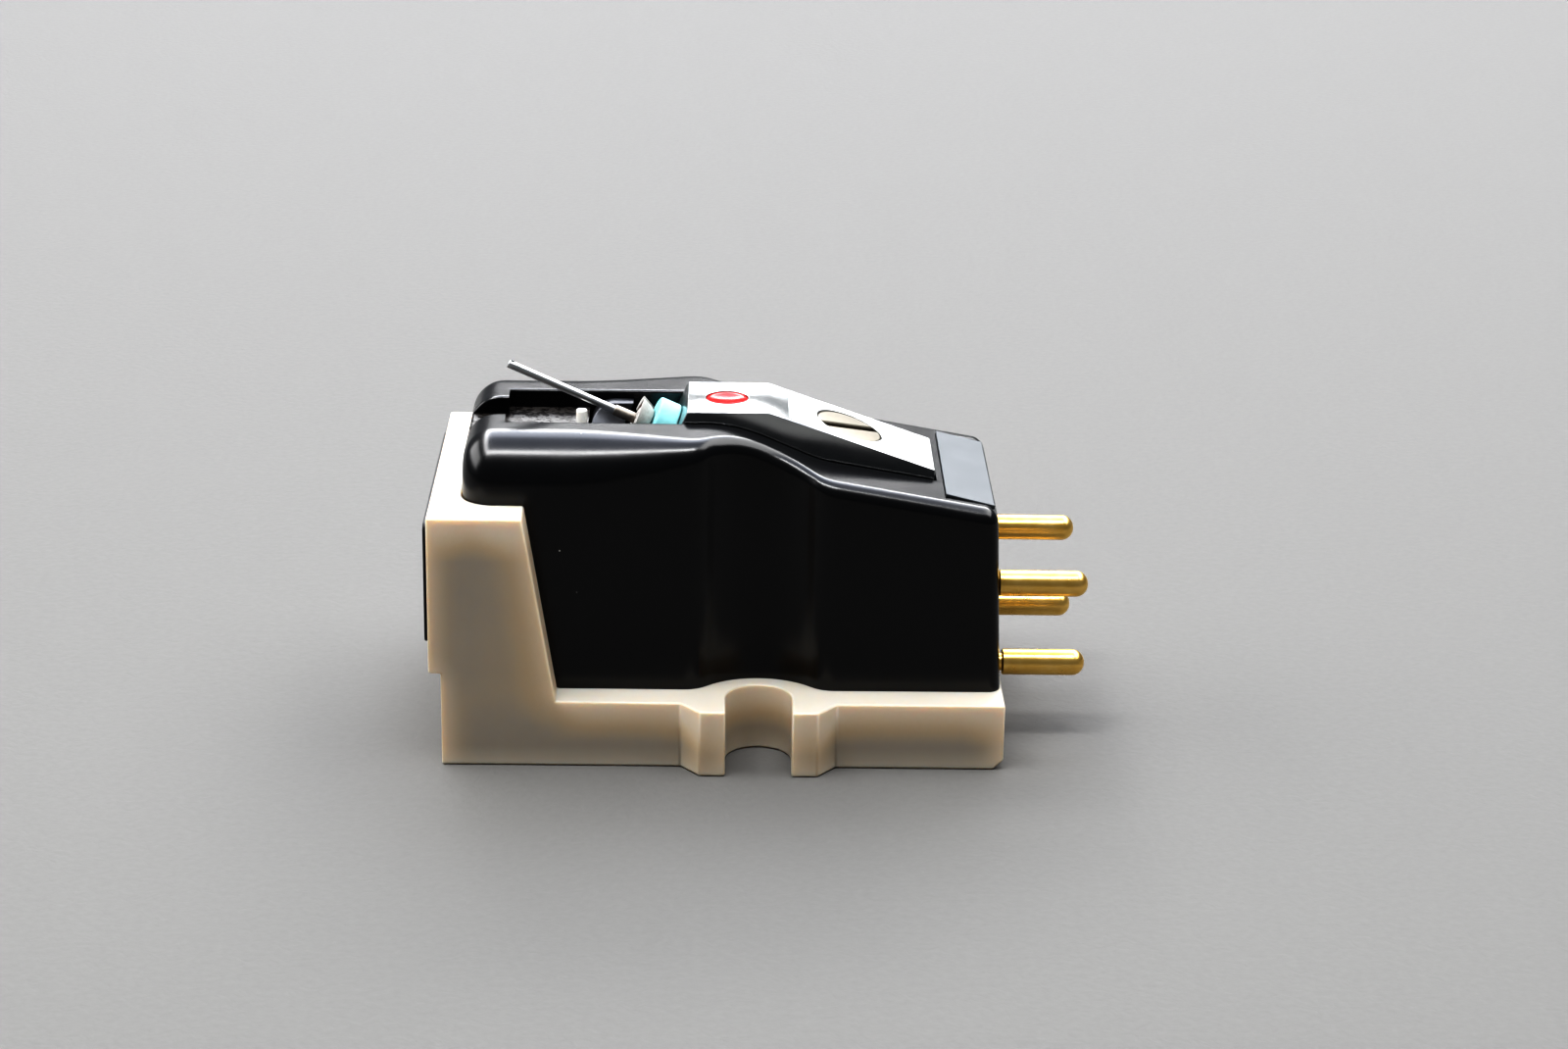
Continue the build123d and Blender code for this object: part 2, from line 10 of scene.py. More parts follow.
import bmesh
import bpy
from bpy.props import FloatProperty, FloatVectorProperty, IntProperty, PointerProperty
from mathutils import Matrix, Vector


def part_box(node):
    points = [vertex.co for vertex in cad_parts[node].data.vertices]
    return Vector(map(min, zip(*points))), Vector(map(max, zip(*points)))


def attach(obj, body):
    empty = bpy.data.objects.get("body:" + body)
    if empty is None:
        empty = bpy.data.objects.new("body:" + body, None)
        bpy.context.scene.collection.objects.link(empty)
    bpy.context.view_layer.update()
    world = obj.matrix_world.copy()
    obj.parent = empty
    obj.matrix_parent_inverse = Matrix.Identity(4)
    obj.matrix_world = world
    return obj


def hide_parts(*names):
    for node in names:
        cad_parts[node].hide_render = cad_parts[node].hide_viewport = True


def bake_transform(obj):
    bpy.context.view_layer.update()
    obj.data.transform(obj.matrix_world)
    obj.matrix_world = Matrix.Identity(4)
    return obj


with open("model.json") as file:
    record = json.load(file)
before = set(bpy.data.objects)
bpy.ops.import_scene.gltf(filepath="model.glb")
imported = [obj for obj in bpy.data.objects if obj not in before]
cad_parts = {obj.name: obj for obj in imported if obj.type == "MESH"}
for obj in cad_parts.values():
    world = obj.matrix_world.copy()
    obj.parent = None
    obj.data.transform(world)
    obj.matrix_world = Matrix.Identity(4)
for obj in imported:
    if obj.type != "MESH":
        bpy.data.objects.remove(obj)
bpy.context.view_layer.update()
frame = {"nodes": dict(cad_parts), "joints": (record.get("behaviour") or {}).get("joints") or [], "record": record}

bl_info = {
    "name": "Phono Cartridge Looks",
    "version": (1, 0, 0),
    "blender": (4, 5, 0),
    "location": "3D View > Sidebar > Cartridge",
    "description": "Builds the visible pieces of a moving-coil phono cartridge on its CAD frame",
    "category": "Object",
}

MM = 0.001


def linear(code):
    """A linear colour from an sRGB hex value."""
    parts = [int(code[start:start + 2], 16) / 255 for start in (0, 2, 4)]
    light = [part / 12.92 if part <= 0.04045 else ((part + 0.055) / 1.055) ** 2.4 for part in parts]
    return (*light, 1.0)


def per_metre(millimetres):
    """Texture scale that repeats a pattern at a real size."""
    return 1.0 / (millimetres * MM)


def add(tree, kind, inputs=None, **settings):
    """Adds a node, sets its properties, and sets or links its inputs by name or number."""
    node = tree.nodes.new(kind)
    for name, value in settings.items():
        setattr(node, name, value)
    for key, value in (inputs or {}).items():
        socket = node.inputs[key]
        if isinstance(value, bpy.types.NodeSocket):
            tree.links.new(value, socket)
        else:
            socket.default_value = value
    return node


def box_of(node):
    """Lowest and highest corner of a CAD node, in millimetres."""
    low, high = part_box(node)
    return low / MM, high / MM


# Places and angles that the pieces share with the CAD frame, in millimetres

SHELL_LOW, SHELL_HIGH = box_of("body_shell")
DECK = SHELL_LOW.z
CROWN = SHELL_HIGH.z
SHELL_FRONT = SHELL_LOW.x
SHELL_REAR = SHELL_HIGH.x
SHELL_HALF_WIDTH = SHELL_HIGH.y
SHELL_DRAFT = math.radians(2.3)
YOKE_TOP = box_of("rear_yoke")[1].z
YOKE_BEND = 0.31
YOKE_SLOPE = math.radians(19.2)
YOKE_ARM = 1.6
CHANNEL_HALF_WIDTH = 2.06
CHANNEL_END = 7.12
SEAL_X = -1.4
SCREW_X = 3.62
SCREW_SHANK = 0.8
SCREW_LENGTH = 3.8
SLOT_TURN = math.radians(32)
ARM_ROOT = Vector((-5.07, 0.0, 12.5))
ARM_UP = Vector(frame["joints"][1]["axis"]).normalized()
ARM_SIDE = Vector((0.0, 1.0, 0.0))
ARM_ALONG = ARM_SIDE.cross(ARM_UP)


def place(origin, side, up, along):
    """The matrix of a frame with the given origin and axes."""
    matrix = Matrix((side, up, along)).transposed().to_4x4()
    matrix.translation = origin
    return matrix


ARM_PLACE = place(ARM_ROOT, ARM_SIDE, ARM_UP, ARM_ALONG)


def on_slope(x):
    """The frame of the yoke's sloped face at x, its third axis out of the face."""
    height = YOKE_TOP - math.tan(YOKE_SLOPE) * (x - YOKE_BEND)
    down = Vector((math.cos(YOKE_SLOPE), 0, -math.sin(YOKE_SLOPE)))
    out = Vector((math.sin(YOKE_SLOPE), 0, math.cos(YOKE_SLOPE)))
    return place(Vector((x, 0, height)), down, out.cross(down), out)


# Sizes and colours that a user would change


class StageSettings(bpy.types.PropertyGroup):
    """Camera, floor and lamps."""
    elevation: FloatProperty(
        name="Elevation", description="Camera's height above the horizon, as an angle",
        default=math.radians(20.37), subtype="ANGLE")
    turn: FloatProperty(
        name="Turn", description="Camera's turn about the upright axis",
        default=math.radians(-1.16), subtype="ANGLE")
    roll: FloatProperty(
        name="Roll", description="Camera's tilt about its own line of sight",
        default=math.radians(1.05), subtype="ANGLE")
    distance: FloatProperty(
        name="Distance", description="From the camera to the point it looks at",
        default=0.1425, unit="LENGTH")
    target: FloatVectorProperty(
        name="Target", description="The point that the camera looks at, before its turn",
        default=(0.00101, 0.0, 0.008), subtype="XYZ", unit="LENGTH")
    lens: FloatProperty(
        name="Lens", description="Focal length on a 36 mm wide sensor, in millimetres", default=79.2)
    floor_colour: FloatVectorProperty(
        name="Floor", description="Colour of the paper floor", size=4,
        default=linear("6A6967"), subtype="COLOR")
    lamp_height: FloatProperty(
        name="Lamp height", description="Height of the lamp frame above the floor",
        default=0.25, unit="LENGTH")
    far_lamp: FloatProperty(
        name="Far lamp", description="Power of the strip behind the part", default=0.9, unit="POWER")
    near_lamp: FloatProperty(
        name="Near lamp", description="Power of the strip above the part", default=0.4, unit="POWER")
    side_lamp: FloatProperty(
        name="Side lamp", description="Power of the strip beyond the front end", default=0.75, unit="POWER")
    middle_lamp: FloatProperty(
        name="Middle lamp", description="Power of the dim panel between the strips", default=0.42,
        unit="POWER")
    panel_lamp: FloatProperty(
        name="Far panel", description="Power of the panel in front of the far strip", default=0.5,
        unit="POWER")
    rear_lamp: FloatProperty(
        name="Rear panel", description="Power of the panel beyond the pins", default=1.1, unit="POWER")
    end_lamp: FloatProperty(
        name="End panel", description="Power of the panel that lights the front end", default=1.2,
        unit="POWER")
    room_light: FloatProperty(
        name="Room light", description="Strength of the even light from all round", default=0.24)


class ShellSettings(bpy.types.PropertyGroup):
    """Black moulded body."""
    edge_round: FloatProperty(
        name="Edge round", description="Radius on the rims of the openings", default=0.00012, unit="LENGTH")
    station_step: FloatProperty(
        name="Station step", description="Distance between sections of the mesh", default=0.0002,
        unit="LENGTH")
    colour: FloatVectorProperty(
        name="Colour", description="Colour of the body's resin", size=4, default=linear("0A0A0B"),
        subtype="COLOR")


class BaseSettings(bpy.types.PropertyGroup):
    """Ivory mounting base."""
    edge_round: FloatProperty(
        name="Edge round", description="Radius on the base's edges", default=0.00009, unit="LENGTH")
    # Painted shade: the tops take a darker colour than the walls' painted glow, because they are the most lit
    colour: FloatVectorProperty(
        name="Colour", description="Colour of the base's resin on its tops", size=4,
        default=linear("BDB7AC"), subtype="COLOR")
    # Painted shade: the taupe of walls far from a lit top
    painted_shade_colour: FloatVectorProperty(
        name="Core colour", description="Colour of the resin where it is thick", size=4,
        default=linear("A69D90"), subtype="COLOR")
    # How far below a lit edge the painted glow reaches
    painted_glow_reach: FloatProperty(
        name="Edge reach", description="How far below a lit edge the resin glows", default=0.0018,
        unit="LENGTH")
    glow: FloatProperty(
        name="Glow depth", description="How far light spreads inside the resin", default=0.0007,
        unit="LENGTH")


class MetalSettings(bpy.types.PropertyGroup):
    """Yoke, pole, plates and screw."""
    yoke_edge: FloatProperty(
        name="Yoke edge", description="Break on the yoke's ground edges", default=0.00005, unit="LENGTH")
    plate_edge: FloatProperty(
        name="Plate edge", description="Break on the plates' edges", default=0.00004, unit="LENGTH")
    screw_rim: FloatProperty(
        name="Screw rim", description="Round on the screw head's rim", default=0.00007, unit="LENGTH")


class PinSettings(bpy.types.PropertyGroup):
    """Gold terminal pins."""
    radius: FloatProperty(
        name="Radius", description="Radius of a pin", default=0.00053, unit="LENGTH")
    nose: FloatProperty(
        name="Nose", description="Radius of the round nose", default=0.0005, unit="LENGTH")
    sides: IntProperty(
        name="Sides", description="Points round a pin", default=48, min=12)


class ArmSettings(bpy.types.PropertyGroup):
    """Stylus arm and its damper."""
    rubber_colour: FloatVectorProperty(
        name="Rubber", description="Colour of the damper's rubber", size=4, default=linear("77ADB0"),
        subtype="COLOR")
    rubber_round: FloatProperty(
        name="Rubber round", description="Round on the damper's rims", default=0.0001, unit="LENGTH")
    wire_radius: FloatProperty(
        name="Coil wire", description="Radius of a coil's wire, coarser than real so that it shows",
        default=0.000015, unit="LENGTH")
    coil_turns: IntProperty(
        name="Coil turns", description="Turns of wire on each arm of the former", default=7, min=1)


# Materials


def start(name):
    """A new material, its node tree and the Object coordinates."""
    material = bpy.data.materials.new(name)
    material.use_nodes = True
    tree = material.node_tree
    tree.nodes.clear()
    return material, tree, add(tree, "ShaderNodeTexCoord").outputs["Object"]


def close(material, tree, inputs):
    """Gives a material its shader and output."""
    shader = add(tree, "ShaderNodeBsdfPrincipled", inputs)
    add(tree, "ShaderNodeOutputMaterial", {"Surface": shader.outputs["BSDF"]})
    material.diffuse_color = shader.inputs["Base Color"].default_value
    return material


def noise(tree, spot, size, detail, roughness=0.5, distortion=0.0):
    """A noise value from 0 to 1, with a grain of a real size in millimetres."""
    return add(tree, "ShaderNodeTexNoise", {
        "Vector": spot, "Scale": per_metre(size), "Detail": detail, "Roughness": roughness,
        "Distortion": distortion}).outputs["Fac"]


def mixed(tree, share, first, second):
    """A colour between two others."""
    return add(tree, "ShaderNodeMix", {0: share, 6: first, 7: second}, data_type="RGBA").outputs[2]


def ranged(tree, value, over=(0.0, 1.0), to=(0.0, 1.0)):
    """A value brought from one range to another and held inside it."""
    return add(tree, "ShaderNodeMapRange", {
        "Value": value, "From Min": over[0], "From Max": over[1], "To Min": to[0],
        "To Max": to[1]}).outputs["Result"]


def bumped(tree, height, strength, depth):
    """A normal that follows a height, over a depth in millimetres."""
    return add(tree, "ShaderNodeBump", {
        "Height": height, "Strength": strength, "Distance": depth * MM}).outputs["Normal"]


def maths(tree, operation, *values):
    """The result of one operation on numbers or outputs."""
    return add(tree, "ShaderNodeMath", dict(enumerate(values)), operation=operation).outputs[0]


def paper_floor(colour):
    # Uncoated pale paper: matt, with a fine felted grain and slightly raised fibres
    material, tree, spot = start("Pale paper")
    grain = noise(tree, spot, size=0.35, detail=4.0)
    fibre = noise(tree, spot, size=0.9, detail=2.0, distortion=2.5)
    dark = tuple(part * 0.9 for part in colour[:3]) + (1.0,)
    tone = mixed(tree, grain, dark, colour)
    height = maths(tree, "ADD", grain, fibre)
    bump = bumped(tree, height, strength=0.35, depth=0.05)
    return close(material, tree, {
        "Base Color": tone, "Roughness": 0.85, "Specular IOR Level": 0.25, "Normal": bump})


def ivory_resin_painted_light(settings):
    # Moulded ivory resin: semi-gloss, a little translucent, with light from above painted in: a painted
    # glow, ivory at a wall's top edge, then amber, and painted shade, taupe, further down
    material, tree, spot = start("Moulded ivory resin")
    cloud = noise(tree, spot, size=3.0, detail=3.0)
    # Rays sent up inside the wall find how near a lit top is, which places the painted glow
    facing = add(tree, "ShaderNodeNewGeometry").outputs["Normal"]
    inward = add(tree, "ShaderNodeVectorMath", {0: facing, 1: (0.0, 0.0, -2.0)})
    depth = add(tree, "ShaderNodeAmbientOcclusion", {
        "Distance": settings.painted_glow_reach, "Normal": inward.outputs["Vector"]}, inside=True, only_local=True)
    # Painted glow: an amber band below a lit top, and a cream rim right at it
    painted_glow_band = ranged(tree, depth.outputs["AO"], over=(0.95, 0.5))
    edge = ranged(tree, depth.outputs["AO"], over=(0.6, 0.32))
    # Rays sent straight in find the other edges, which are thin but less lit, and give them a weaker painted glow
    thin = add(tree, "ShaderNodeAmbientOcclusion", {"Distance": settings.painted_glow_reach / 2}, inside=True,
               only_local=True)
    side = ranged(tree, thin.outputs["AO"], over=(1.0, 0.45), to=(0.0, 0.6))
    upright = add(tree, "ShaderNodeSeparateXYZ", {"Vector": facing})
    # Faces that look up take the top colour, a painted shade that keeps the strongly lit tops from washing out
    lit = ranged(tree, upright.outputs["Z"], over=(0.4, 0.8))
    # Painted shade, taupe with a random mottle, on walls where no lit top is near
    painted_shade_mottle = mixed(tree, cloud, settings.painted_shade_colour, linear("9D9488"))
    painted_amber_glow = mixed(tree, painted_glow_band, painted_shade_mottle, linear("C4AD8C"))
    pale = maths(tree, "MAXIMUM", edge, side)
    painted_edge_glow = mixed(tree, pale, painted_amber_glow, linear("D9CFBF"))
    painted_light_tone = mixed(tree, lit, painted_edge_glow, settings.colour)
    skin = noise(tree, spot, size=0.09, detail=2.0)
    gloss = ranged(tree, cloud, to=(0.34, 0.46))
    bump = bumped(tree, skin, strength=0.12, depth=0.006)
    return close(material, tree, {
        "Base Color": painted_light_tone, "Roughness": gloss, "IOR": 1.5, "Subsurface Weight": 0.6,
        "Subsurface Radius": (1.0, 0.7, 0.45), "Subsurface Scale": settings.glow, "Normal": bump})


def black_resin(settings):
    # Glossy black moulding: deep soft gloss, faint waviness and a few specks of dust
    material, tree, spot = start("Glossy black resin")
    speck = add(tree, "ShaderNodeTexVoronoi", {"Vector": spot, "Scale": per_metre(0.8)})
    share = add(tree, "ShaderNodeSeparateColor", {"Color": speck.outputs["Color"]})
    # A cell holds a speck only if its own random number is high, and then one up to 0.08 mm across
    size = ranged(tree, share.outputs["Red"], over=(0.72, 1.0), to=(0.0, 0.05))
    dust = maths(tree, "LESS_THAN", speck.outputs["Distance"], size)
    tone = mixed(tree, dust, settings.colour, linear("9A9893"))
    # Inside the mouth, below the crown, a scuffed floor has gathered grey dust
    split = add(tree, "ShaderNodeSeparateXYZ", {"Vector": spot})
    off_middle = maths(tree, "ABSOLUTE", split.outputs["Y"])
    between = maths(tree, "LESS_THAN", off_middle, (CHANNEL_HALF_WIDTH - 0.01) * MM)
    sunk = maths(tree, "COMPARE", split.outputs["Z"], MOUTH_FLOOR * MM, 0.05 * MM)
    in_mouth = maths(tree, "MULTIPLY", between, sunk)
    scuff = noise(tree, spot, size=0.35, detail=6.0, roughness=0.7)
    lint = ranged(tree, scuff, over=(0.4, 0.75), to=(0.12, 0.7))
    settled = maths(tree, "MULTIPLY", in_mouth, lint)
    skin = mixed(tree, settled, tone, linear("4A4642"))
    haze = noise(tree, spot, size=1.6, detail=4.0)
    gloss = ranged(tree, haze, over=(0.3, 0.7), to=(0.22, 0.26))
    dull = maths(tree, "MAXIMUM", gloss, dust)
    rough = maths(tree, "MAXIMUM", dull, settled)
    wave = noise(tree, spot, size=2.5, detail=1.0)
    bump = bumped(tree, wave, strength=0.03, depth=0.01)
    return close(material, tree, {
        "Base Color": skin, "Roughness": rough, "IOR": 1.5, "Specular IOR Level": 0.55, "Normal": bump})


def black_card():
    # Matt black blank plate: a fine pebbled skin that scatters what little it reflects
    material, tree, spot = start("Matt black plate")
    pebble = add(tree, "ShaderNodeTexVoronoi", {"Vector": spot, "Scale": per_metre(0.12)})
    tone = mixed(tree, pebble.outputs["Distance"], linear("151515"), linear("0C0C0C"))
    bump = bumped(tree, pebble.outputs["Distance"], strength=0.3, depth=0.01)
    return close(material, tree, {"Base Color": tone, "Roughness": 0.55, "Normal": bump})


def satin_aluminium():
    # Etched satin aluminium sheet: soft grey with an even, very fine tooth
    material, tree, spot = start("Etched satin aluminium")
    tooth = noise(tree, spot, size=0.06, detail=3.0)
    smear = noise(tree, spot, size=1.4, detail=2.0)
    tone = mixed(tree, smear, linear("505355"), linear("686A6C"))
    rough = ranged(tree, smear, to=(0.46, 0.58))
    bump = bumped(tree, tooth, strength=0.25, depth=0.008)
    return close(material, tree, {
        "Base Color": tone, "Metallic": 1.0, "Roughness": rough, "Normal": bump})


def ground_nickel():
    # Nickel on ground soft iron: the flat is faced in rings about its seal, so light makes a
    # bow tie there, and the slope is ground lengthwise
    material, tree, spot = start("Ground nickel plate")
    centre = add(tree, "ShaderNodeVectorMath", {0: spot, 1: (SEAL_X * MM, 0, YOKE_TOP * MM)},
                 operation="SUBTRACT")
    facing = add(tree, "ShaderNodeNewGeometry")
    tilt = add(tree, "ShaderNodeSeparateXYZ", {"Vector": facing.outputs["Normal"]})
    level = maths(tree, "GREATER_THAN", tilt.outputs["Z"], 0.97)
    # Light spreads across the tool marks: outwards from the seal on the flat, sideways on the slope
    way = add(tree, "ShaderNodeMix", {
        0: level, 4: (0.05, 1, 0), 5: centre.outputs["Vector"]}, data_type="VECTOR")
    # Tool rings, coarser than real so that they show: a wave repeats every tau / 20 of its scale,
    # which is 0.314 mm here
    rings = add(tree, "ShaderNodeTexWave", {
        "Vector": centre.outputs["Vector"], "Scale": per_metre(1.0), "Distortion": 0.4,
        "Detail": 2.0}, wave_type="RINGS", rings_direction="Z")
    faced = maths(tree, "MULTIPLY", rings.outputs["Fac"], level)
    cloud = noise(tree, spot, size=0.7, detail=3.0)
    tone = mixed(tree, cloud, linear("A5A7A7"), linear("B9BABA"))
    rough = ranged(tree, cloud, to=(0.23, 0.29))
    bump = bumped(tree, faced, strength=0.1, depth=0.004)
    return close(material, tree, {
        "Base Color": tone, "Metallic": 1.0, "Roughness": rough, "Anisotropic": 0.8,
        "Tangent": way.outputs[1], "Normal": bump})


def blued_steel():
    # Oil-blackened steel: dark, cool and satin, with paler rubbed patches
    material, tree, spot = start("Blackened steel")
    rub = noise(tree, spot, size=0.6, detail=5.0)
    tone = mixed(tree, rub, linear("2A2B2E"), linear("5C5D60"))
    rough = ranged(tree, rub, to=(0.32, 0.55))
    return close(material, tree, {"Base Color": tone, "Metallic": 1.0, "Roughness": rough})


def nickel_silver():
    # Turned nickel-silver screw: warm beige metal with fine facing marks
    material, tree, spot = start("Nickel silver")
    stretch = add(tree, "ShaderNodeMapping", {
        "Vector": spot, "Rotation": (0, YOKE_SLOPE, SLOT_TURN), "Scale": (0.12, 1.0, 1.0)})
    grain = noise(tree, stretch.outputs["Vector"], size=0.07, detail=3.0)
    tone = mixed(tree, grain, linear("66625A"), linear("8E897E"))
    rough = ranged(tree, grain, to=(0.4, 0.55))
    bump = bumped(tree, grain, strength=0.25, depth=0.008)
    return close(material, tree, {
        "Base Color": tone, "Metallic": 1.0, "Roughness": rough, "Normal": bump})


def red_lacquer():
    # A drop of sealing lacquer: wet gloss over a deep red that is a little uneven
    material, tree, spot = start("Red sealing lacquer")
    pool = noise(tree, spot, size=0.5, detail=2.0)
    tone = mixed(tree, pool, linear("B41517"), linear("DF2A28"))
    bump = bumped(tree, pool, strength=0.15, depth=0.03)
    return close(material, tree, {
        "Base Color": tone, "Roughness": 0.14, "Specular IOR Level": 0.12, "Normal": bump})


def turquoise_rubber(colour):
    # Soft damping rubber: a slightly translucent turquoise with a dry, dusty skin
    material, tree, spot = start("Turquoise damping rubber")
    dust = noise(tree, spot, size=0.15, detail=4.0)
    tone = mixed(tree, dust, colour, linear("8ABFC1"))
    bump = bumped(tree, dust, strength=0.2, depth=0.02)
    return close(material, tree, {
        "Base Color": tone, "Roughness": 0.6, "Subsurface Weight": 0.5,
        "Subsurface Radius": (0.3, 0.9, 1.0), "Subsurface Scale": 0.25 * MM, "Normal": bump})


def grey_former():
    # Moulded coil former: light grey, matt and a little chalky
    material, tree, spot = start("Light grey moulded former")
    chalk = noise(tree, spot, size=0.12, detail=4.0)
    tone = mixed(tree, chalk, linear("8E8C88"), linear("B9B7B2"))
    bump = bumped(tree, chalk, strength=0.2, depth=0.01)
    return close(material, tree, {"Base Color": tone, "Roughness": 0.5, "Normal": bump})


def enamelled_copper():
    # Enamelled copper wire: red-brown metal under a glossy clear varnish
    material, tree, spot = start("Enamelled copper wire")
    varnish = noise(tree, spot, size=0.2, detail=2.0)
    tone = mixed(tree, varnish, linear("8A3F20"), linear("B8623A"))
    return close(material, tree, {
        "Base Color": tone, "Metallic": 1.0, "Roughness": 0.3, "Coat Weight": 0.8})


def sleeve_metal():
    # Drawn alloy sleeve: dull warm grey with traces of the glue that holds the tube
    material, tree, spot = start("Dull drawn alloy")
    glue = noise(tree, spot, size=0.25, detail=4.0)
    tone = mixed(tree, glue, linear("75706A"), linear("A8A198"))
    rough = ranged(tree, glue, to=(0.3, 0.6))
    return close(material, tree, {"Base Color": tone, "Metallic": 1.0, "Roughness": rough})


def drawn_aluminium():
    # Drawn aluminium tube: bright, with fine lines that run along it
    material, tree, spot = start("Drawn aluminium tube")
    along = add(tree, "ShaderNodeVectorMath", {0: spot, 1: tuple(ARM_ALONG)}, operation="DOT_PRODUCT")
    upward = add(tree, "ShaderNodeVectorMath", {0: spot, 1: tuple(ARM_UP)}, operation="DOT_PRODUCT")
    side = add(tree, "ShaderNodeSeparateXYZ", {"Vector": spot})
    # Lines 0.1 mm across and 4 mm long, coarser than real so that they don't flicker
    drawn_out = maths(tree, "MULTIPLY", along.outputs["Value"], 0.025)
    lines = add(tree, "ShaderNodeCombineXYZ", {
        "X": drawn_out, "Y": side.outputs["Y"], "Z": upward.outputs["Value"]})
    drawn = noise(tree, lines.outputs[0], size=0.1, detail=1.0)
    tone = mixed(tree, drawn, linear("A9AAAA"), linear("C6C7C7"))
    rough = ranged(tree, drawn, to=(0.3, 0.38))
    return close(material, tree, {"Base Color": tone, "Metallic": 1.0, "Roughness": rough})


def ground_diamond():
    # Ground diamond: clear and hard, its flats frosted by the lap
    material, tree, spot = start("Ground diamond")
    lap = noise(tree, spot, size=0.03, detail=2.0)
    rough = ranged(tree, lap, to=(0.05, 0.2))
    return close(material, tree, {
        "Base Color": linear("E9EDF0"), "Roughness": rough, "IOR": 2.42, "Transmission Weight": 1.0})


def white_nylon():
    # White nylon peg: bright, waxy and faintly translucent
    material, tree, spot = start("White nylon")
    wax = noise(tree, spot, size=0.2, detail=3.0)
    tone = mixed(tree, wax, linear("E9E7E0"), linear("F7F6F2"))
    return close(material, tree, {
        "Base Color": tone, "Roughness": 0.4, "Subsurface Weight": 0.4,
        "Subsurface Radius": (1.0, 0.95, 0.9), "Subsurface Scale": 0.2 * MM})


def gold_plate():
    # Gold plate on turned brass: bright yellow with soft turning marks round the pin
    material, tree, spot = start("Gold plate")
    turn = add(tree, "ShaderNodeMapping", {"Vector": spot, "Scale": (1.0, 0.05, 0.05)})
    marks = noise(tree, turn.outputs["Vector"], size=0.1, detail=3.0)
    wear = noise(tree, spot, size=0.5, detail=3.0)
    tone = mixed(tree, wear, linear("D8AE58"), linear("EACB8A"))
    rough = ranged(tree, wear, to=(0.24, 0.34))
    bump = bumped(tree, marks, strength=0.12, depth=0.01)
    return close(material, tree, {
        "Base Color": tone, "Metallic": 1.0, "Roughness": rough, "Normal": bump})


def ground_magnet():
    # Cast magnet alloy: grey, ground on its faces, with the open grain of a casting
    material, tree, spot = start("Ground magnet alloy")
    grain = add(tree, "ShaderNodeTexVoronoi", {"Vector": spot, "Scale": per_metre(0.25)})
    tone = mixed(tree, grain.outputs["Distance"], linear("5B5C5E"), linear("7F8082"))
    return close(material, tree, {"Base Color": tone, "Metallic": 1.0, "Roughness": 0.45})


def spring_steel():
    # Drawn spring wire: hard bright steel with a faint mottle
    material, tree, spot = start("Drawn spring wire")
    drawn = noise(tree, spot, size=0.05, detail=2.0)
    tone = mixed(tree, drawn, linear("9C9DA0"), linear("C9CACC"))
    return close(material, tree, {"Base Color": tone, "Metallic": 1.0, "Roughness": 0.25})


def brown_phenolic():
    # Phenolic terminal block: dark brown resin with the flecks of its paper filler
    material, tree, spot = start("Brown phenolic")
    fleck = noise(tree, spot, size=0.15, detail=5.0)
    tone = mixed(tree, fleck, linear("2E1D12"), linear("5A3A22"))
    return close(material, tree, {"Base Color": tone, "Roughness": 0.45})


# Mesh tools


def body_of(node):
    """The CAD body that a node rides on."""
    bodies = frame["record"]["behaviour"]["bodies"]
    return next(body for body, members in bodies.items() if node in members)


def object_of(name, form):
    """An object in the scene from a form in millimetres, which is used up."""
    mesh = bpy.data.meshes.new(name)
    form.to_mesh(mesh)
    form.free()
    mesh.transform(Matrix.Scale(MM, 4))
    made = bpy.data.objects.new(name, mesh)
    bpy.context.scene.collection.objects.link(made)
    return made


def baked(made):
    """Turns an object's modifiers into plain mesh and removes them."""
    bpy.context.view_layer.update()
    graph = bpy.context.evaluated_depsgraph_get()
    mesh = bpy.data.meshes.new_from_object(made.evaluated_get(graph), depsgraph=graph)
    made.modifiers.clear()
    made.data = mesh
    return made


def settle(made, nodes, material, angle=32.0, ride=True):
    """Shades a finished piece and gives it the place of CAD nodes in the frame."""
    mesh = made.data
    mesh.name = made.name
    if not mesh.polygons:
        raise RuntimeError(f"{made.name} has no faces")
    mesh.materials.clear()
    mesh.materials.append(material)
    mesh.shade_smooth()
    mesh.set_sharp_from_angle(angle=math.radians(angle))
    level = made.modifiers.new("Even shading", "WEIGHTED_NORMAL")
    level.keep_sharp = True
    baked(made)
    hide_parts(*nodes)
    if ride:
        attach(made, body_of(nodes[0]))
    return made


def dress(node, material):
    """Gives a CAD node that stays in view its finish."""
    kept = frame["nodes"][node]
    if not kept.material_slots:
        kept.data.materials.append(material)
    for slot in kept.material_slots:
        slot.material = material


def eased_copy(node, width, spans=3):
    """A merged copy of a CAD node in millimetres, with its edges broken."""
    form = bmesh.new()
    form.from_mesh(frame["nodes"][node].data)
    bmesh.ops.scale(form, vec=(1 / MM,) * 3, verts=form.verts)
    bmesh.ops.remove_doubles(form, verts=form.verts, dist=0.0005)
    bmesh.ops.dissolve_limit(
        form, angle_limit=math.radians(1), verts=form.verts, edges=form.edges, delimit=set())
    sharp = [edge for edge in form.edges if edge.calc_face_angle(0.0) > math.radians(25)]
    bmesh.ops.bevel(
        form, geom=sharp, offset=width / MM, offset_type="OFFSET", segments=spans, profile=0.5,
        affect="EDGES", clamp_overlap=True)
    return form


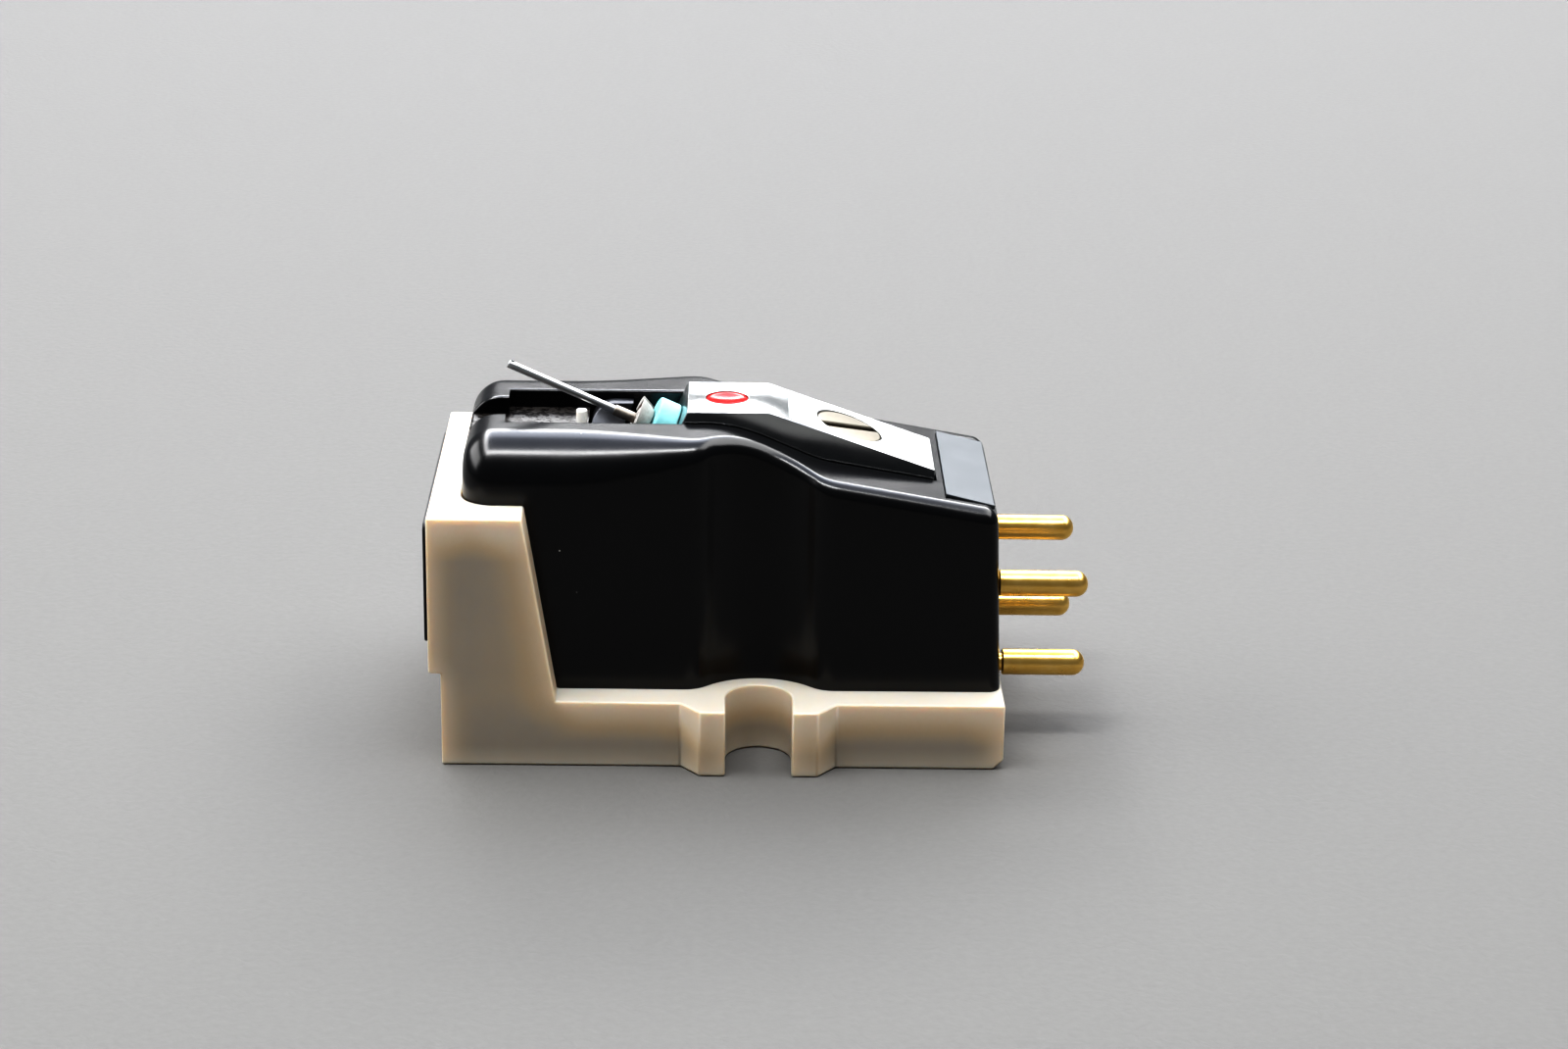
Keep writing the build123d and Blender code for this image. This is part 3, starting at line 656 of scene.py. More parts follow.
def turned(outline, where, sides, ring=False):
    """A form turned from an outline of (radius, height) points about a frame's third axis."""
    form = bmesh.new()
    rows = []
    for radius, height in outline:
        if radius < 1e-6:
            rows.append([form.verts.new((0, 0, height))])
            continue
        angles = [math.tau * side / sides for side in range(sides)]
        rows.append([form.verts.new((radius * math.cos(a), radius * math.sin(a), height)) for a in angles])
    pairs = list(zip(rows, rows[1:]))
    if ring:
        pairs.append((rows[-1], rows[0]))
    for first, second in pairs:
        for side in range(sides):
            after = (side + 1) % sides
            around = [first[side % len(first)], first[after % len(first)],
                      second[after % len(second)], second[side % len(second)]]
            corners = list(dict.fromkeys(around))
            if len(corners) > 2:
                form.faces.new(corners)
    if not ring:
        for row in (rows[0], rows[-1]):
            if len(row) > 1:
                form.faces.new(row)
    bmesh.ops.recalc_face_normals(form, faces=form.faces)
    form.transform(where)
    return form


def rounded(radius, height, size, out=1, spans=5):
    """Outline points of a rim round that ends an upright wall, towards the axis."""
    angles = [math.radians(90) * step / spans for step in range(spans + 1)]
    return [
        (radius - size + size * math.cos(a), height + out * (size * math.sin(a) - size)) for a in angles]


def prism(outline, axis, first, last):
    """A form with an outline in the plane square to an axis, between two places on it."""
    form = bmesh.new()
    order = {"X": (2, 0, 1), "Y": (0, 2, 1)}[axis]
    rows = []
    for level in (first, last):
        points = [(u, v, level) for u, v in outline]
        rows.append([form.verts.new([point[index] for index in order]) for point in points])
    form.faces.new(rows[0])
    form.faces.new(rows[1])
    for index in range(len(outline)):
        after = (index + 1) % len(outline)
        form.faces.new([rows[0][index], rows[0][after], rows[1][after], rows[1][index]])
    bmesh.ops.recalc_face_normals(form, faces=form.faces)
    return form


def carved(form, cutters):
    """A form with every cutter taken out of it, still in millimetres."""
    made = object_of("carving", form)
    tools = [object_of("cutter", cutter) for cutter in cutters]
    for tool in tools:
        cut = made.modifiers.new("Cut", "BOOLEAN")
        cut.operation = "DIFFERENCE"
        cut.solver = "EXACT"
        cut.object = tool
    baked(made)
    result = bmesh.new()
    result.from_mesh(made.data)
    for used in tools + [made]:
        mesh = used.data
        bpy.data.objects.remove(used)
        bpy.data.meshes.remove(mesh)
    bmesh.ops.scale(result, vec=(1 / MM,) * 3, verts=result.verts)
    if any(len(edge.link_faces) != 2 for edge in result.edges):
        raise RuntimeError("a carved form isn't closed")
    return result


# The shell's form, which follows the CAD's rules


def eased(x, corner, reach):
    """The distance past a corner, eased over a reach to either side of it."""
    start_x = corner - reach
    if x <= start_x:
        return 0.0
    if x >= corner + reach:
        return x - corner
    return (x - start_x) ** 2 / (4 * reach)


def smooth_share(x, first, last):
    """A share from 0 at first to 1 at last, with level ends."""
    share = min(max((x - first) / (last - first), 0.0), 1.0)
    return share * share * (3 - 2 * share)


RAMP = math.tan(math.radians(23.2))
RAMP_X = -1.05
RAMP_EASE = 1.25
TAIL = math.tan(math.radians(9.84))
TAIL_X = 2.38
TAIL_EASE = 0.55
FRONT_SHOULDER = 1.95
REAR_SHOULDER = 0.6
BLEND_START = -8.0
BLEND_END = -0.5
GROOVE_RADIUS = 3.0
GROOVE_DEPTH = 1.25
GROOVE_LIP = 1.3
LIP_X = math.sqrt((GROOVE_RADIUS + GROOVE_LIP) ** 2 - (GROOVE_RADIUS - GROOVE_DEPTH + GROOVE_LIP) ** 2)
MEET_X = LIP_X * GROOVE_RADIUS / (GROOVE_RADIUS + GROOVE_LIP)
FRONT_EDGE = 1.3
REAR_EDGE = 0.5
FRONT_WALL = 1.6
INNER_FRONT = SHELL_FRONT + FRONT_WALL
NOTCH_HALF_WIDTH = 1.05
MOUTH_DEPTH = 0.75
MOUTH_FLOOR = CROWN - MOUTH_DEPTH
WELL_FRONT = -7.06
WELL_REAR = 0.66
HOLLOW_FRONT = 4.6
HOLLOW_REAR = 8.38
LABEL_FRONT = 7.4
LABEL_THICKNESS = 0.25
LABEL_STAND = 0.13
LABEL_PITCH = math.radians(13.7)
SEAT_FRONT = 7.38
SEAT_HALF_WIDTH = 3.97
LEAN_START = SEAT_FRONT + 0.1

# Terminal pins, which the shell's bores follow
PIN_NODES = ("pin_left_signal", "pin_left_ground", "pin_right_signal", "pin_right_ground")
UPPER_PIN_ROOT = 9.7
LOWER_PIN_ROOT = 9.95
PIN_TAIL_RADIUS = 0.28
PIN_NECK_RADIUS = 0.36

# Lines and spans of the shell's mesh; every kind of section has the same number of points
FAN_START = 3.2
FAN_END = 6.4
BRIDGE_OUTER = 1.5
BRIDGE_INNER = 0.8
SIDE_SPANS = 6
SHOULDER_SPANS = 18
TOP_SPANS = 4
OUTER_SPANS = 8
INNER_SPANS = 7
MIDDLE_SPANS = 2
FRONT_SPANS = 12
REAR_SPANS = 8


def crown_at(x):
    """Height of the crown: level, down a ramp, then a gentler tail."""
    return CROWN - RAMP * eased(x, RAMP_X, RAMP_EASE) + (RAMP - TAIL) * eased(x, TAIL_X, TAIL_EASE)


def foot_at(x):
    """Half the shell's width at the deck, with the screw groove and its soft lips."""
    away = abs(x)
    if away >= LIP_X:
        return SHELL_HALF_WIDTH - max(x - LIP_X, 0.0) * TAIL * math.tan(SHELL_DRAFT)
    if away >= MEET_X:
        return SHELL_HALF_WIDTH - GROOVE_LIP + math.sqrt(GROOVE_LIP ** 2 - (LIP_X - away) ** 2)
    return SHELL_HALF_WIDTH - GROOVE_DEPTH + GROOVE_RADIUS - math.sqrt(GROOVE_RADIUS ** 2 - away ** 2)


def shoulder_at(x):
    """Radius of the shoulder, large in front and small behind the groove."""
    change = REAR_SHOULDER - FRONT_SHOULDER
    return FRONT_SHOULDER + change * smooth_share(x, BLEND_START, BLEND_END)


def yoke_seat(x):
    """Height of the yoke arm's underside."""
    return YOKE_TOP - YOKE_ARM / math.cos(YOKE_SLOPE) - math.tan(YOKE_SLOPE) * (x - YOKE_BEND)


def label_seat(x):
    """Height of the face under the rear label."""
    top = crown_at(LABEL_FRONT) + LABEL_STAND - LABEL_THICKNESS / math.cos(LABEL_PITCH)
    return top - math.tan(LABEL_PITCH) * (x - LABEL_FRONT)


def channel_floor(x):
    """Height of the channel's floor before the well is cut."""
    if x <= WELL_FRONT:
        return MOUTH_FLOOR
    if x >= WELL_REAR:
        return yoke_seat(x)
    share = (x - WELL_FRONT) / (WELL_REAR - WELL_FRONT)
    return MOUTH_FLOOR + (yoke_seat(WELL_REAR) - MOUTH_FLOOR) * share


def across(first, last, height, spans):
    """Section points on a level line, without its first point."""
    return [(first + (last - first) * step / spans, height) for step in range(1, spans + 1)]


def rim(wall, top, floor, edge, spans):
    """Section points over a rounded rim and down a wall, without the first point."""
    size = min(edge, max(top - floor, 0.0) / 2)
    angles = [math.radians(90) * step / (spans - 1) for step in range(1, spans)]
    over = [(wall + size - size * math.sin(a), top - size + size * math.cos(a)) for a in angles]
    return over + [(wall, floor)]


def half_section(x, opening, inset, lean, edge):
    """Half of the shell's section, from its foot over the shoulder to the middle, as (x, y, z)."""
    # The crown's height depends on where a leaning section meets it, which a few rounds settle
    top_x = x
    for attempt in range(4):
        top_x = x - (crown_at(top_x) - DECK) * lean
    shoulder = shoulder_at(top_x)
    height = crown_at(top_x) - shoulder
    side = foot_at(top_x) - (height - DECK) * math.tan(SHELL_DRAFT) - shoulder / math.cos(SHELL_DRAFT)
    radius = shoulder - inset
    top = height + radius
    low = (side + radius * math.cos(SHELL_DRAFT), height + radius * math.sin(SHELL_DRAFT))
    foot = low[0] + (low[1] - DECK) * math.tan(SHELL_DRAFT)
    points = [
        (foot + (low[0] - foot) * step / SIDE_SPANS, DECK + (low[1] - DECK) * step / SIDE_SPANS)
        for step in range(SIDE_SPANS)]
    for step in range(SHOULDER_SPANS + 1):
        angle = SHELL_DRAFT + (math.radians(90) - SHELL_DRAFT) * step / SHOULDER_SPANS
        points.append((side + radius * math.cos(angle), height + radius * math.sin(angle)))
    inner = CHANNEL_HALF_WIDTH + edge
    seat = min(label_seat(top_x), top)
    even = side + (inner - side) / 3
    outer = even + (SEAT_HALF_WIDTH + edge - even) * smooth_share(x, FAN_START, FAN_END)
    floor = min(channel_floor(x), top)
    points += across(side, outer, top, TOP_SPANS)
    if opening == "label":
        points += rim(SEAT_HALF_WIDTH, top, seat, edge, OUTER_SPANS)
        points += across(SEAT_HALF_WIDTH, inner, seat, INNER_SPANS)
        points += across(inner, NOTCH_HALF_WIDTH, seat, INNER_SPANS)
        points += across(NOTCH_HALF_WIDTH, 0.0, seat, MIDDLE_SPANS)
    else:
        points += across(outer, inner, top, OUTER_SPANS)
    if opening == "notch":
        size = min(edge, max(top - floor, 0.0) / 2)
        points += across(inner, NOTCH_HALF_WIDTH + size, top, INNER_SPANS)
        points += rim(NOTCH_HALF_WIDTH, top, floor, edge, INNER_SPANS)
        points += across(NOTCH_HALF_WIDTH, 0.0, floor, MIDDLE_SPANS)
    if opening == "channel":
        points += rim(CHANNEL_HALF_WIDTH, top, floor, edge, INNER_SPANS)
        points += across(CHANNEL_HALF_WIDTH, NOTCH_HALF_WIDTH, floor, INNER_SPANS)
        points += across(NOTCH_HALF_WIDTH, 0.0, floor, MIDDLE_SPANS)
    if opening == "none":
        points += across(inner, BRIDGE_OUTER, top, INNER_SPANS)
        points += across(BRIDGE_OUTER, BRIDGE_INNER, top, INNER_SPANS)
        points += across(BRIDGE_INNER, 0.0, top, MIDDLE_SPANS)
    return [(x - (z - DECK) * lean, y, z) for y, z in points]


def spread(places, step):
    """Places from the first to the last of a list, no further apart than a step."""
    filled = [places[0]]
    for first, last in zip(places, places[1:]):
        spans = max(1, math.ceil((last - first) / step))
        filled += [first + (last - first) * index / spans for index in range(1, spans + 1)]
    return filled


def shell_sections(edge, step):
    """The shell's half sections from front to rear, doubled where an opening ends."""
    slices = []
    for index in range(FRONT_SPANS + 1):
        angle = math.radians(90) * (1 - index / FRONT_SPANS)
        depth = FRONT_EDGE * (1 - math.sin(angle))
        slices.append((SHELL_FRONT + depth, "notch", FRONT_EDGE * (1 - math.cos(angle))))
    slices.append((INNER_FRONT, "notch", 0.0))
    for x in spread([INNER_FRONT, BLEND_START, -LIP_X, -MEET_X, MEET_X, LIP_X, CHANNEL_END], step):
        slices.append((x, "channel", 0.0))
    slices += [(CHANNEL_END, "none", 0.0), (SEAT_FRONT, "none", 0.0)]
    for x in spread([SEAT_FRONT, SHELL_REAR - REAR_EDGE], step):
        slices.append((x, "label", 0.0))
    for index in range(1, REAR_SPANS + 1):
        angle = math.radians(90) * index / REAR_SPANS
        depth = REAR_EDGE * (1 - math.sin(angle))
        slices.append((SHELL_REAR - depth, "label", REAR_EDGE * (1 - math.cos(angle))))
    sections = []
    for x, opening, inset in slices:
        lean = math.tan(SHELL_DRAFT) * smooth_share(x, LEAN_START, SHELL_REAR - REAR_EDGE)
        sections.append(half_section(x, opening, inset, lean, edge))
    return sections


def shell_skin(edge, step):
    """The shell as one closed form: both halves, the underside and the two ends."""
    form = bmesh.new()
    loops = []
    for section in shell_sections(edge, step):
        near = [form.verts.new((x, -y, z)) for x, y, z in section]
        far = [form.verts.new(point) for point in section[:-1]]
        loops.append(near + far[::-1])
    for first, second in zip(loops, loops[1:]):
        for index in range(len(first)):
            after = (index + 1) % len(first)
            form.faces.new([first[index], first[after], second[after], second[index]])
    form.faces.new(loops[0])
    form.faces.new(loops[-1])
    bmesh.ops.remove_doubles(form, verts=form.verts, dist=0.0004)
    bmesh.ops.dissolve_degenerate(form, edges=form.edges, dist=0.0003)
    bmesh.ops.recalc_face_normals(form, faces=form.faces)
    if any(len(edge.link_faces) != 2 for edge in form.edges):
        raise RuntimeError("the shell isn't closed")
    return form


def box_form(x0, x1, half_width, z0, z1, middle=0.0):
    """A block about a lengthwise line."""
    outline = [(middle - half_width, z0), (middle + half_width, z0), (middle + half_width, z1),
               (middle - half_width, z1)]
    return prism(outline, "X", x0, x1)


def rod_form(radius, where, start_at, end_at, sides=40):
    """A round rod on a frame's third axis."""
    return turned([(radius, start_at), (radius, end_at)], where, sides)


def shell_hollows():
    """The rooms inside the shell: well and cavity, cores, wire slots, pin bores, screw hole."""
    below = DECK - 1.0
    cavity = 2.75
    cavity_top = 9.302
    core_rear = -8.25
    core_half_width = 3.557
    core_top = 11.0
    hollow_half_width = 4.15
    hollow_top = 7.915
    slot_ends = (0.6, 4.7)
    slot_half_width = 0.225
    slot_side = 2.525
    slot_top = DECK + 1.1
    screw_hole_top = -0.8
    fit = 0.02
    well = prism([
        (-cavity, below), (cavity, below), (cavity, cavity_top), (CHANNEL_HALF_WIDTH, cavity_top),
        (CHANNEL_HALF_WIDTH, YOKE_TOP), (-CHANNEL_HALF_WIDTH, YOKE_TOP),
        (-CHANNEL_HALF_WIDTH, cavity_top), (-cavity, cavity_top)], "X", WELL_FRONT, WELL_REAR)
    rooms = [
        well,
        box_form(INNER_FRONT, core_rear, core_half_width, below, core_top),
        box_form(HOLLOW_FRONT, HOLLOW_REAR, hollow_half_width, below, hollow_top),
        box_form(*slot_ends, slot_half_width, below, slot_top, slot_side),
        box_form(*slot_ends, slot_half_width, below, slot_top, -slot_side),
        rod_form(SCREW_SHANK + fit, on_slope(SCREW_X), -SCREW_LENGTH - fit, screw_hole_top),
    ]
    # The lower pins' bores are open below, through slots a hair narrower than the bores
    bore = PIN_NECK_RADIUS + fit
    bore_start = 8.2
    notch_start = 8.3
    notch_half_width = bore - 0.001
    past_rear = 11.0
    lengthwise = Matrix.Rotation(math.radians(90), 4, "Y")
    for name in PIN_NODES:
        low, high = box_of(name)
        middle = (low + high) / 2
        line = Matrix.Translation((0, middle.y, middle.z)) @ lengthwise
        rooms.append(rod_form(bore, line, bore_start, past_rear))
        if middle.z < DECK + 1:
            rooms.append(box_form(notch_start, past_rear, notch_half_width, below, middle.z, middle.y))
    return rooms


# Geometry node trees


def new_tree(name, inputs):
    """A geometry node tree with named inputs, and its group input node."""
    tree = bpy.data.node_groups.new(name, "GeometryNodeTree")
    tree.is_modifier = True
    for label, kind in inputs:
        tree.interface.new_socket(label, in_out="INPUT", socket_type=kind)
    tree.interface.new_socket("Geometry", in_out="OUTPUT", socket_type="NodeSocketGeometry")
    return tree, add(tree, "NodeGroupInput").outputs


def pin_tree():
    """One turned pin along X: tail, neck through the wall, shoulder and a round nose."""
    lengths = ("Tail Start", "Neck Start", "Root", "Tip", "Tail Radius", "Neck Radius", "Radius", "Nose")
    tree, given = new_tree(
        "Turned pin", [(label, "NodeSocketFloat") for label in lengths] + [("Sides", "NodeSocketInt")])
    step = 0.02 * MM
    bevel = 0.05 * MM
    nose_spans = 12
    shifted = {
        "neck": maths(tree, "ADD", given["Neck Start"], -step),
        "root": maths(tree, "ADD", given["Root"], -step),
        "full": maths(tree, "ADD", given["Root"], bevel),
        "slim": maths(tree, "ADD", given["Radius"], -bevel),
        "nose": maths(tree, "SUBTRACT", given["Tip"], given["Nose"]),
        "point": maths(tree, "SUBTRACT", given["Radius"], given["Nose"]),
    }
    stations = [
        (given["Tail Start"], given["Tail Radius"]),
        (shifted["neck"], given["Tail Radius"]),
        (given["Neck Start"], given["Neck Radius"]),
        (shifted["root"], given["Neck Radius"]),
        (given["Root"], shifted["slim"]),
        (shifted["full"], given["Radius"]),
        (shifted["nose"], given["Radius"]),
    ]
    index = add(tree, "GeometryNodeInputIndex").outputs[0]
    plain = add(tree, "GeometryNodeIndexSwitch", {"Index": index}, data_type="VECTOR")
    while len(plain.index_switch_items) < len(stations):
        plain.index_switch_items.new()
    for number, (x, radius) in enumerate(stations):
        pair = add(tree, "ShaderNodeCombineXYZ", {"X": x, "Y": radius})
        tree.links.new(pair.outputs[0], plain.inputs[1 + number])
    past = maths(tree, "ADD", index, 1.0 - len(stations))
    angle = maths(tree, "MULTIPLY", past, math.radians(90) / nose_spans)
    rise = maths(tree, "SINE", angle)
    fall = maths(tree, "COSINE", angle)
    nose_x = maths(tree, "MULTIPLY_ADD", rise, given["Nose"], shifted["nose"])
    nose_radius = maths(tree, "MULTIPLY_ADD", fall, given["Nose"], shifted["point"])
    round_pair = add(tree, "ShaderNodeCombineXYZ", {"X": nose_x, "Y": nose_radius})
    in_nose = maths(tree, "GREATER_THAN", past, 0.5)
    chosen = add(tree, "GeometryNodeSwitch", {
        "Switch": in_nose, "False": plain.outputs[0], "True": round_pair.outputs[0]},
        input_type="VECTOR")
    split = add(tree, "ShaderNodeSeparateXYZ", {"Vector": chosen.outputs[0]})
    spot = add(tree, "ShaderNodeCombineXYZ", {"X": split.outputs["X"]})
    line = add(tree, "GeometryNodeMeshLine", {"Count": len(stations) + nose_spans, "Offset": (MM, 0, 0)})
    sized = add(tree, "GeometryNodeCaptureAttribute", {"Geometry": line.outputs[0]})
    sized.capture_items.new("FLOAT", "Radius")
    tree.links.new(split.outputs["Y"], sized.inputs["Radius"])
    placed = add(tree, "GeometryNodeSetPosition", {
        "Geometry": sized.outputs["Geometry"], "Position": spot.outputs[0]})
    spine = add(tree, "GeometryNodeMeshToCurve", {"Mesh": placed.outputs[0]})
    circle = add(tree, "GeometryNodeCurvePrimitiveCircle", {
        "Resolution": given["Sides"], "Radius": 1.0})
    body = add(tree, "GeometryNodeCurveToMesh", {
        "Curve": spine.outputs[0], "Profile Curve": circle.outputs["Curve"],
        "Scale": sized.outputs["Radius"], "Fill Caps": True})
    add(tree, "NodeGroupOutput", {"Geometry": body.outputs[0]})
    return tree


def pins_tree():
    """Two rows of two pins, the lower row rooted behind the base."""
    lengths = ("Spacing", "Upper Height", "Lower Height", "Upper Root", "Lower Root", "Tail Start",
               "Neck Start", "Tip", "Tail Radius", "Neck Radius", "Radius", "Nose")
    tree, given = new_tree("Terminal pins", [(label, "NodeSocketFloat") for label in lengths] + [
        ("Sides", "NodeSocketInt"), ("Material", "NodeSocketMaterial")])
    one = pin_tree()
    joined = add(tree, "GeometryNodeJoinGeometry")
    near = maths(tree, "MULTIPLY", given["Spacing"], -1.0)
    apart = maths(tree, "MULTIPLY", given["Spacing"], 2.0)
    for row in ("Upper", "Lower"):
        pin = add(tree, "GeometryNodeGroup", node_tree=one)
        for label in ("Tail Start", "Neck Start", "Tip", "Tail Radius", "Neck Radius", "Radius", "Nose",
                      "Sides"):
            tree.links.new(given[label], pin.inputs[label])
        tree.links.new(given[row + " Root"], pin.inputs["Root"])
        first = add(tree, "ShaderNodeCombineXYZ", {"Y": near, "Z": given[row + " Height"]})
        stride = add(tree, "ShaderNodeCombineXYZ", {"Y": apart})
        line = add(tree, "GeometryNodeMeshLine", {
            "Count": 2, "Start Location": first.outputs[0], "Offset": stride.outputs[0]})
        pair = add(tree, "GeometryNodeInstanceOnPoints", {
            "Points": line.outputs[0], "Instance": pin.outputs[0]})
        tree.links.new(pair.outputs[0], joined.inputs[0])
    real = add(tree, "GeometryNodeRealizeInstances", {"Geometry": joined.outputs[0]})
    finish = add(tree, "GeometryNodeSetMaterial", {
        "Geometry": real.outputs[0], "Material": given["Material"]})
    add(tree, "NodeGroupOutput", {"Geometry": finish.outputs[0]})
    return tree


def winding_tree():
    """Turns of wire on two opposite arms of the former, in the arm's own frame."""
    tree, given = new_tree("Coil winding", [
        ("Turns", "NodeSocketInt"), ("Start", "NodeSocketFloat"), ("Pitch", "NodeSocketFloat"),
        ("Depth", "NodeSocketFloat"), ("Width", "NodeSocketFloat"), ("Wire Radius", "NodeSocketFloat"),
        ("Turn", "NodeSocketFloat"), ("Height", "NodeSocketFloat"), ("Material", "NodeSocketMaterial")])
    path = add(tree, "GeometryNodeCurvePrimitiveQuadrilateral", {
        "Width": given["Depth"], "Height": given["Width"]})
    bend = maths(tree, "MULTIPLY", given["Wire Radius"], 4.0)
    soft = add(tree, "GeometryNodeFilletCurve", {
        "Curve": path.outputs[0], "Count": 4, "Radius": bend}, mode="POLY")
    wire = add(tree, "GeometryNodeCurvePrimitiveCircle", {
        "Resolution": 8, "Radius": given["Wire Radius"]})
    loop = add(tree, "GeometryNodeCurveToMesh", {
        "Curve": soft.outputs[0], "Profile Curve": wire.outputs["Curve"]})
    first = add(tree, "ShaderNodeCombineXYZ", {"X": given["Start"], "Z": given["Height"]})
    stride = add(tree, "ShaderNodeCombineXYZ", {"X": given["Pitch"]})
    line = add(tree, "GeometryNodeMeshLine", {
        "Count": given["Turns"], "Start Location": first.outputs[0], "Offset": stride.outputs[0]})
    turns = add(tree, "GeometryNodeInstanceOnPoints", {
        "Points": line.outputs[0], "Instance": loop.outputs[0], "Rotation": (0, math.radians(90), 0)})
    other = add(tree, "GeometryNodeTransform", {
        "Geometry": turns.outputs[0], "Rotation": (0, 0, math.radians(180))})
    both = add(tree, "GeometryNodeJoinGeometry")
    tree.links.new(turns.outputs[0], both.inputs[0])
    tree.links.new(other.outputs[0], both.inputs[0])
    swing = add(tree, "ShaderNodeCombineXYZ", {"Z": given["Turn"]})
    set_round = add(tree, "GeometryNodeTransform", {
        "Geometry": both.outputs[0], "Rotation": swing.outputs[0]})
    real = add(tree, "GeometryNodeRealizeInstances", {"Geometry": set_round.outputs[0]})
    finish = add(tree, "GeometryNodeSetMaterial", {
        "Geometry": real.outputs[0], "Material": given["Material"]})
    add(tree, "NodeGroupOutput", {"Geometry": finish.outputs[0]})
    return tree


def grown(name, tree, values):
    """An object with a tree's result as plain mesh."""
    made = bpy.data.objects.new(name, bpy.data.meshes.new(name))
    bpy.context.scene.collection.objects.link(made)
    nodes = made.modifiers.new("Grow", "NODES")
    nodes.node_group = tree
    sockets = {item.name: item.identifier for item in tree.interface.items_tree if item.in_out == "INPUT"}
    for label, value in values.items():
        nodes[sockets[label]] = value
    return baked(made)


# Operators


class CARTRIDGE_OT_stage(bpy.types.Operator):
    """Lay the floor, hang the lamps and set up the camera"""
    bl_idname = "cartridge.stage"
    bl_label = "Stage"

    def execute(self, context):
        settings = context.scene.cartridge_stage
        scene = context.scene
        bpy.ops.mesh.primitive_plane_add(size=3.0, location=(0, 0, 0))
        floor = context.active_object
        floor.name = "paper_floor"
        # The floor lies a hair below the mounting face, so the two don't share a plane
        floor.data.transform(Matrix.Translation((0, 0, -0.01 * MM)))
        floor.data.materials.append(paper_floor(settings.floor_colour))
        # The two dim panels hang a little above the strips
        lamp_height = settings.lamp_height
        middle_height = lamp_height * 1.04
        panel_height = lamp_height * 1.08
        # Each lamp's name, power, place, width and depth, and colour: the strips stand round the dim
        # panels, so a glossy shoulder shows a bright frame with a dark middle
        lamps = [
            ("far_strip", settings.far_lamp, (0.04, 0.42, lamp_height), (0.36, 0.08), "FFFFFF"),
            ("near_strip", settings.near_lamp, (-0.03, -0.074, lamp_height), (0.19, 0.026), "FFFFFF"),
            ("left_strip", settings.side_lamp, (-0.125, 0.18, lamp_height), (0.045, 0.5), "FFFFFF"),
            ("middle_panel", settings.middle_lamp, (-0.01, 0.16, middle_height), (0.22, 0.44), "DCE4F5"),
            ("far_panel", settings.panel_lamp, (-0.01, 0.27, panel_height), (0.22, 0.25), "E9EEFA"),
            ("rear_panel", settings.rear_lamp, (0.19, 0.16, lamp_height), (0.18, 0.48), "FFFFFF"),
            ("front_panel", settings.end_lamp, (-0.42, 0.1, lamp_height), (0.22, 0.5), "FFFFFF"),
        ]
        for name, power, spot, size, colour in lamps:
            lamp = bpy.data.lights.new(name, "AREA")
            lamp.shape = "RECTANGLE"
            lamp.size, lamp.size_y = size
            lamp.energy = power
            lamp.color = linear(colour)[:3]
            hung = bpy.data.objects.new(name, lamp)
            hung.location = spot
            if name in ("far_strip", "near_strip"):
                hung.rotation_euler.x = math.atan2(-spot[1], spot[2])
            if name == "front_panel":
                hung.rotation_euler.y = math.atan2(spot[0], spot[2])
            scene.collection.objects.link(hung)
        world = bpy.data.worlds.new("Soft room")
        world.use_nodes = True
        sky = world.node_tree.nodes["Background"]
        sky.inputs["Color"].default_value = linear("DDE2E8")
        sky.inputs["Strength"].default_value = settings.room_light
        scene.world = world
        scene.view_settings.view_transform = "Standard"
        scene.view_settings.look = "Very High Contrast"
        view = bpy.data.cameras.new("camera")
        view.lens = settings.lens
        view.sensor_width = 36.0
        view.clip_start = 0.005
        camera = bpy.data.objects.new("camera", view)
        turn = Matrix.Rotation(settings.turn, 4, "Z")
        back = Vector((0, -math.cos(settings.elevation), math.sin(settings.elevation)))
        tilt = Matrix.Rotation(math.radians(90) - settings.elevation, 4, "X")
        roll = Matrix.Rotation(settings.roll, 4, "Z")
        stand = Matrix.Translation(Vector(settings.target) + back * settings.distance)
        camera.matrix_world = turn @ stand @ tilt @ roll
        scene.collection.objects.link(camera)
        scene.camera = camera
        return {"FINISHED"}


class CARTRIDGE_OT_base(bpy.types.Operator):
    """Mould the ivory base with softened edges"""
    bl_idname = "cartridge.base"
    bl_label = "Mounting base"

    def execute(self, context):
        settings = context.scene.cartridge_base
        made = object_of("ivory_base", eased_copy("mounting_base", settings.edge_round))
        settle(made, ["mounting_base"], ivory_resin_painted_light(settings))
        return {"FINISHED"}


class CARTRIDGE_OT_shell(bpy.types.Operator):
    """Mould the black body with its crown, grooves, mouth and hollows"""
    bl_idname = "cartridge.shell"
    bl_label = "Body shell"

    def execute(self, context):
        settings = context.scene.cartridge_shell
        form = shell_skin(settings.edge_round / MM, settings.station_step / MM)
        made = object_of("black_shell", carved(form, shell_hollows()))
        settle(made, ["body_shell"], black_resin(settings))
        return {"FINISHED"}


class CARTRIDGE_OT_plates(bpy.types.Operator):
    """Add the blank front plate and the bare rear label"""
    bl_idname = "cartridge.plates"
    bl_label = "Plates"

    def execute(self, context):
        edge = context.scene.cartridge_metal.plate_edge
        settle(object_of("blank_front_plate", eased_copy("front_plate", edge)), ["front_plate"],
               black_card())
        settle(object_of("bare_rear_label", eased_copy("rear_label", edge)), ["rear_label"],
               satin_aluminium())
        return {"FINISHED"}


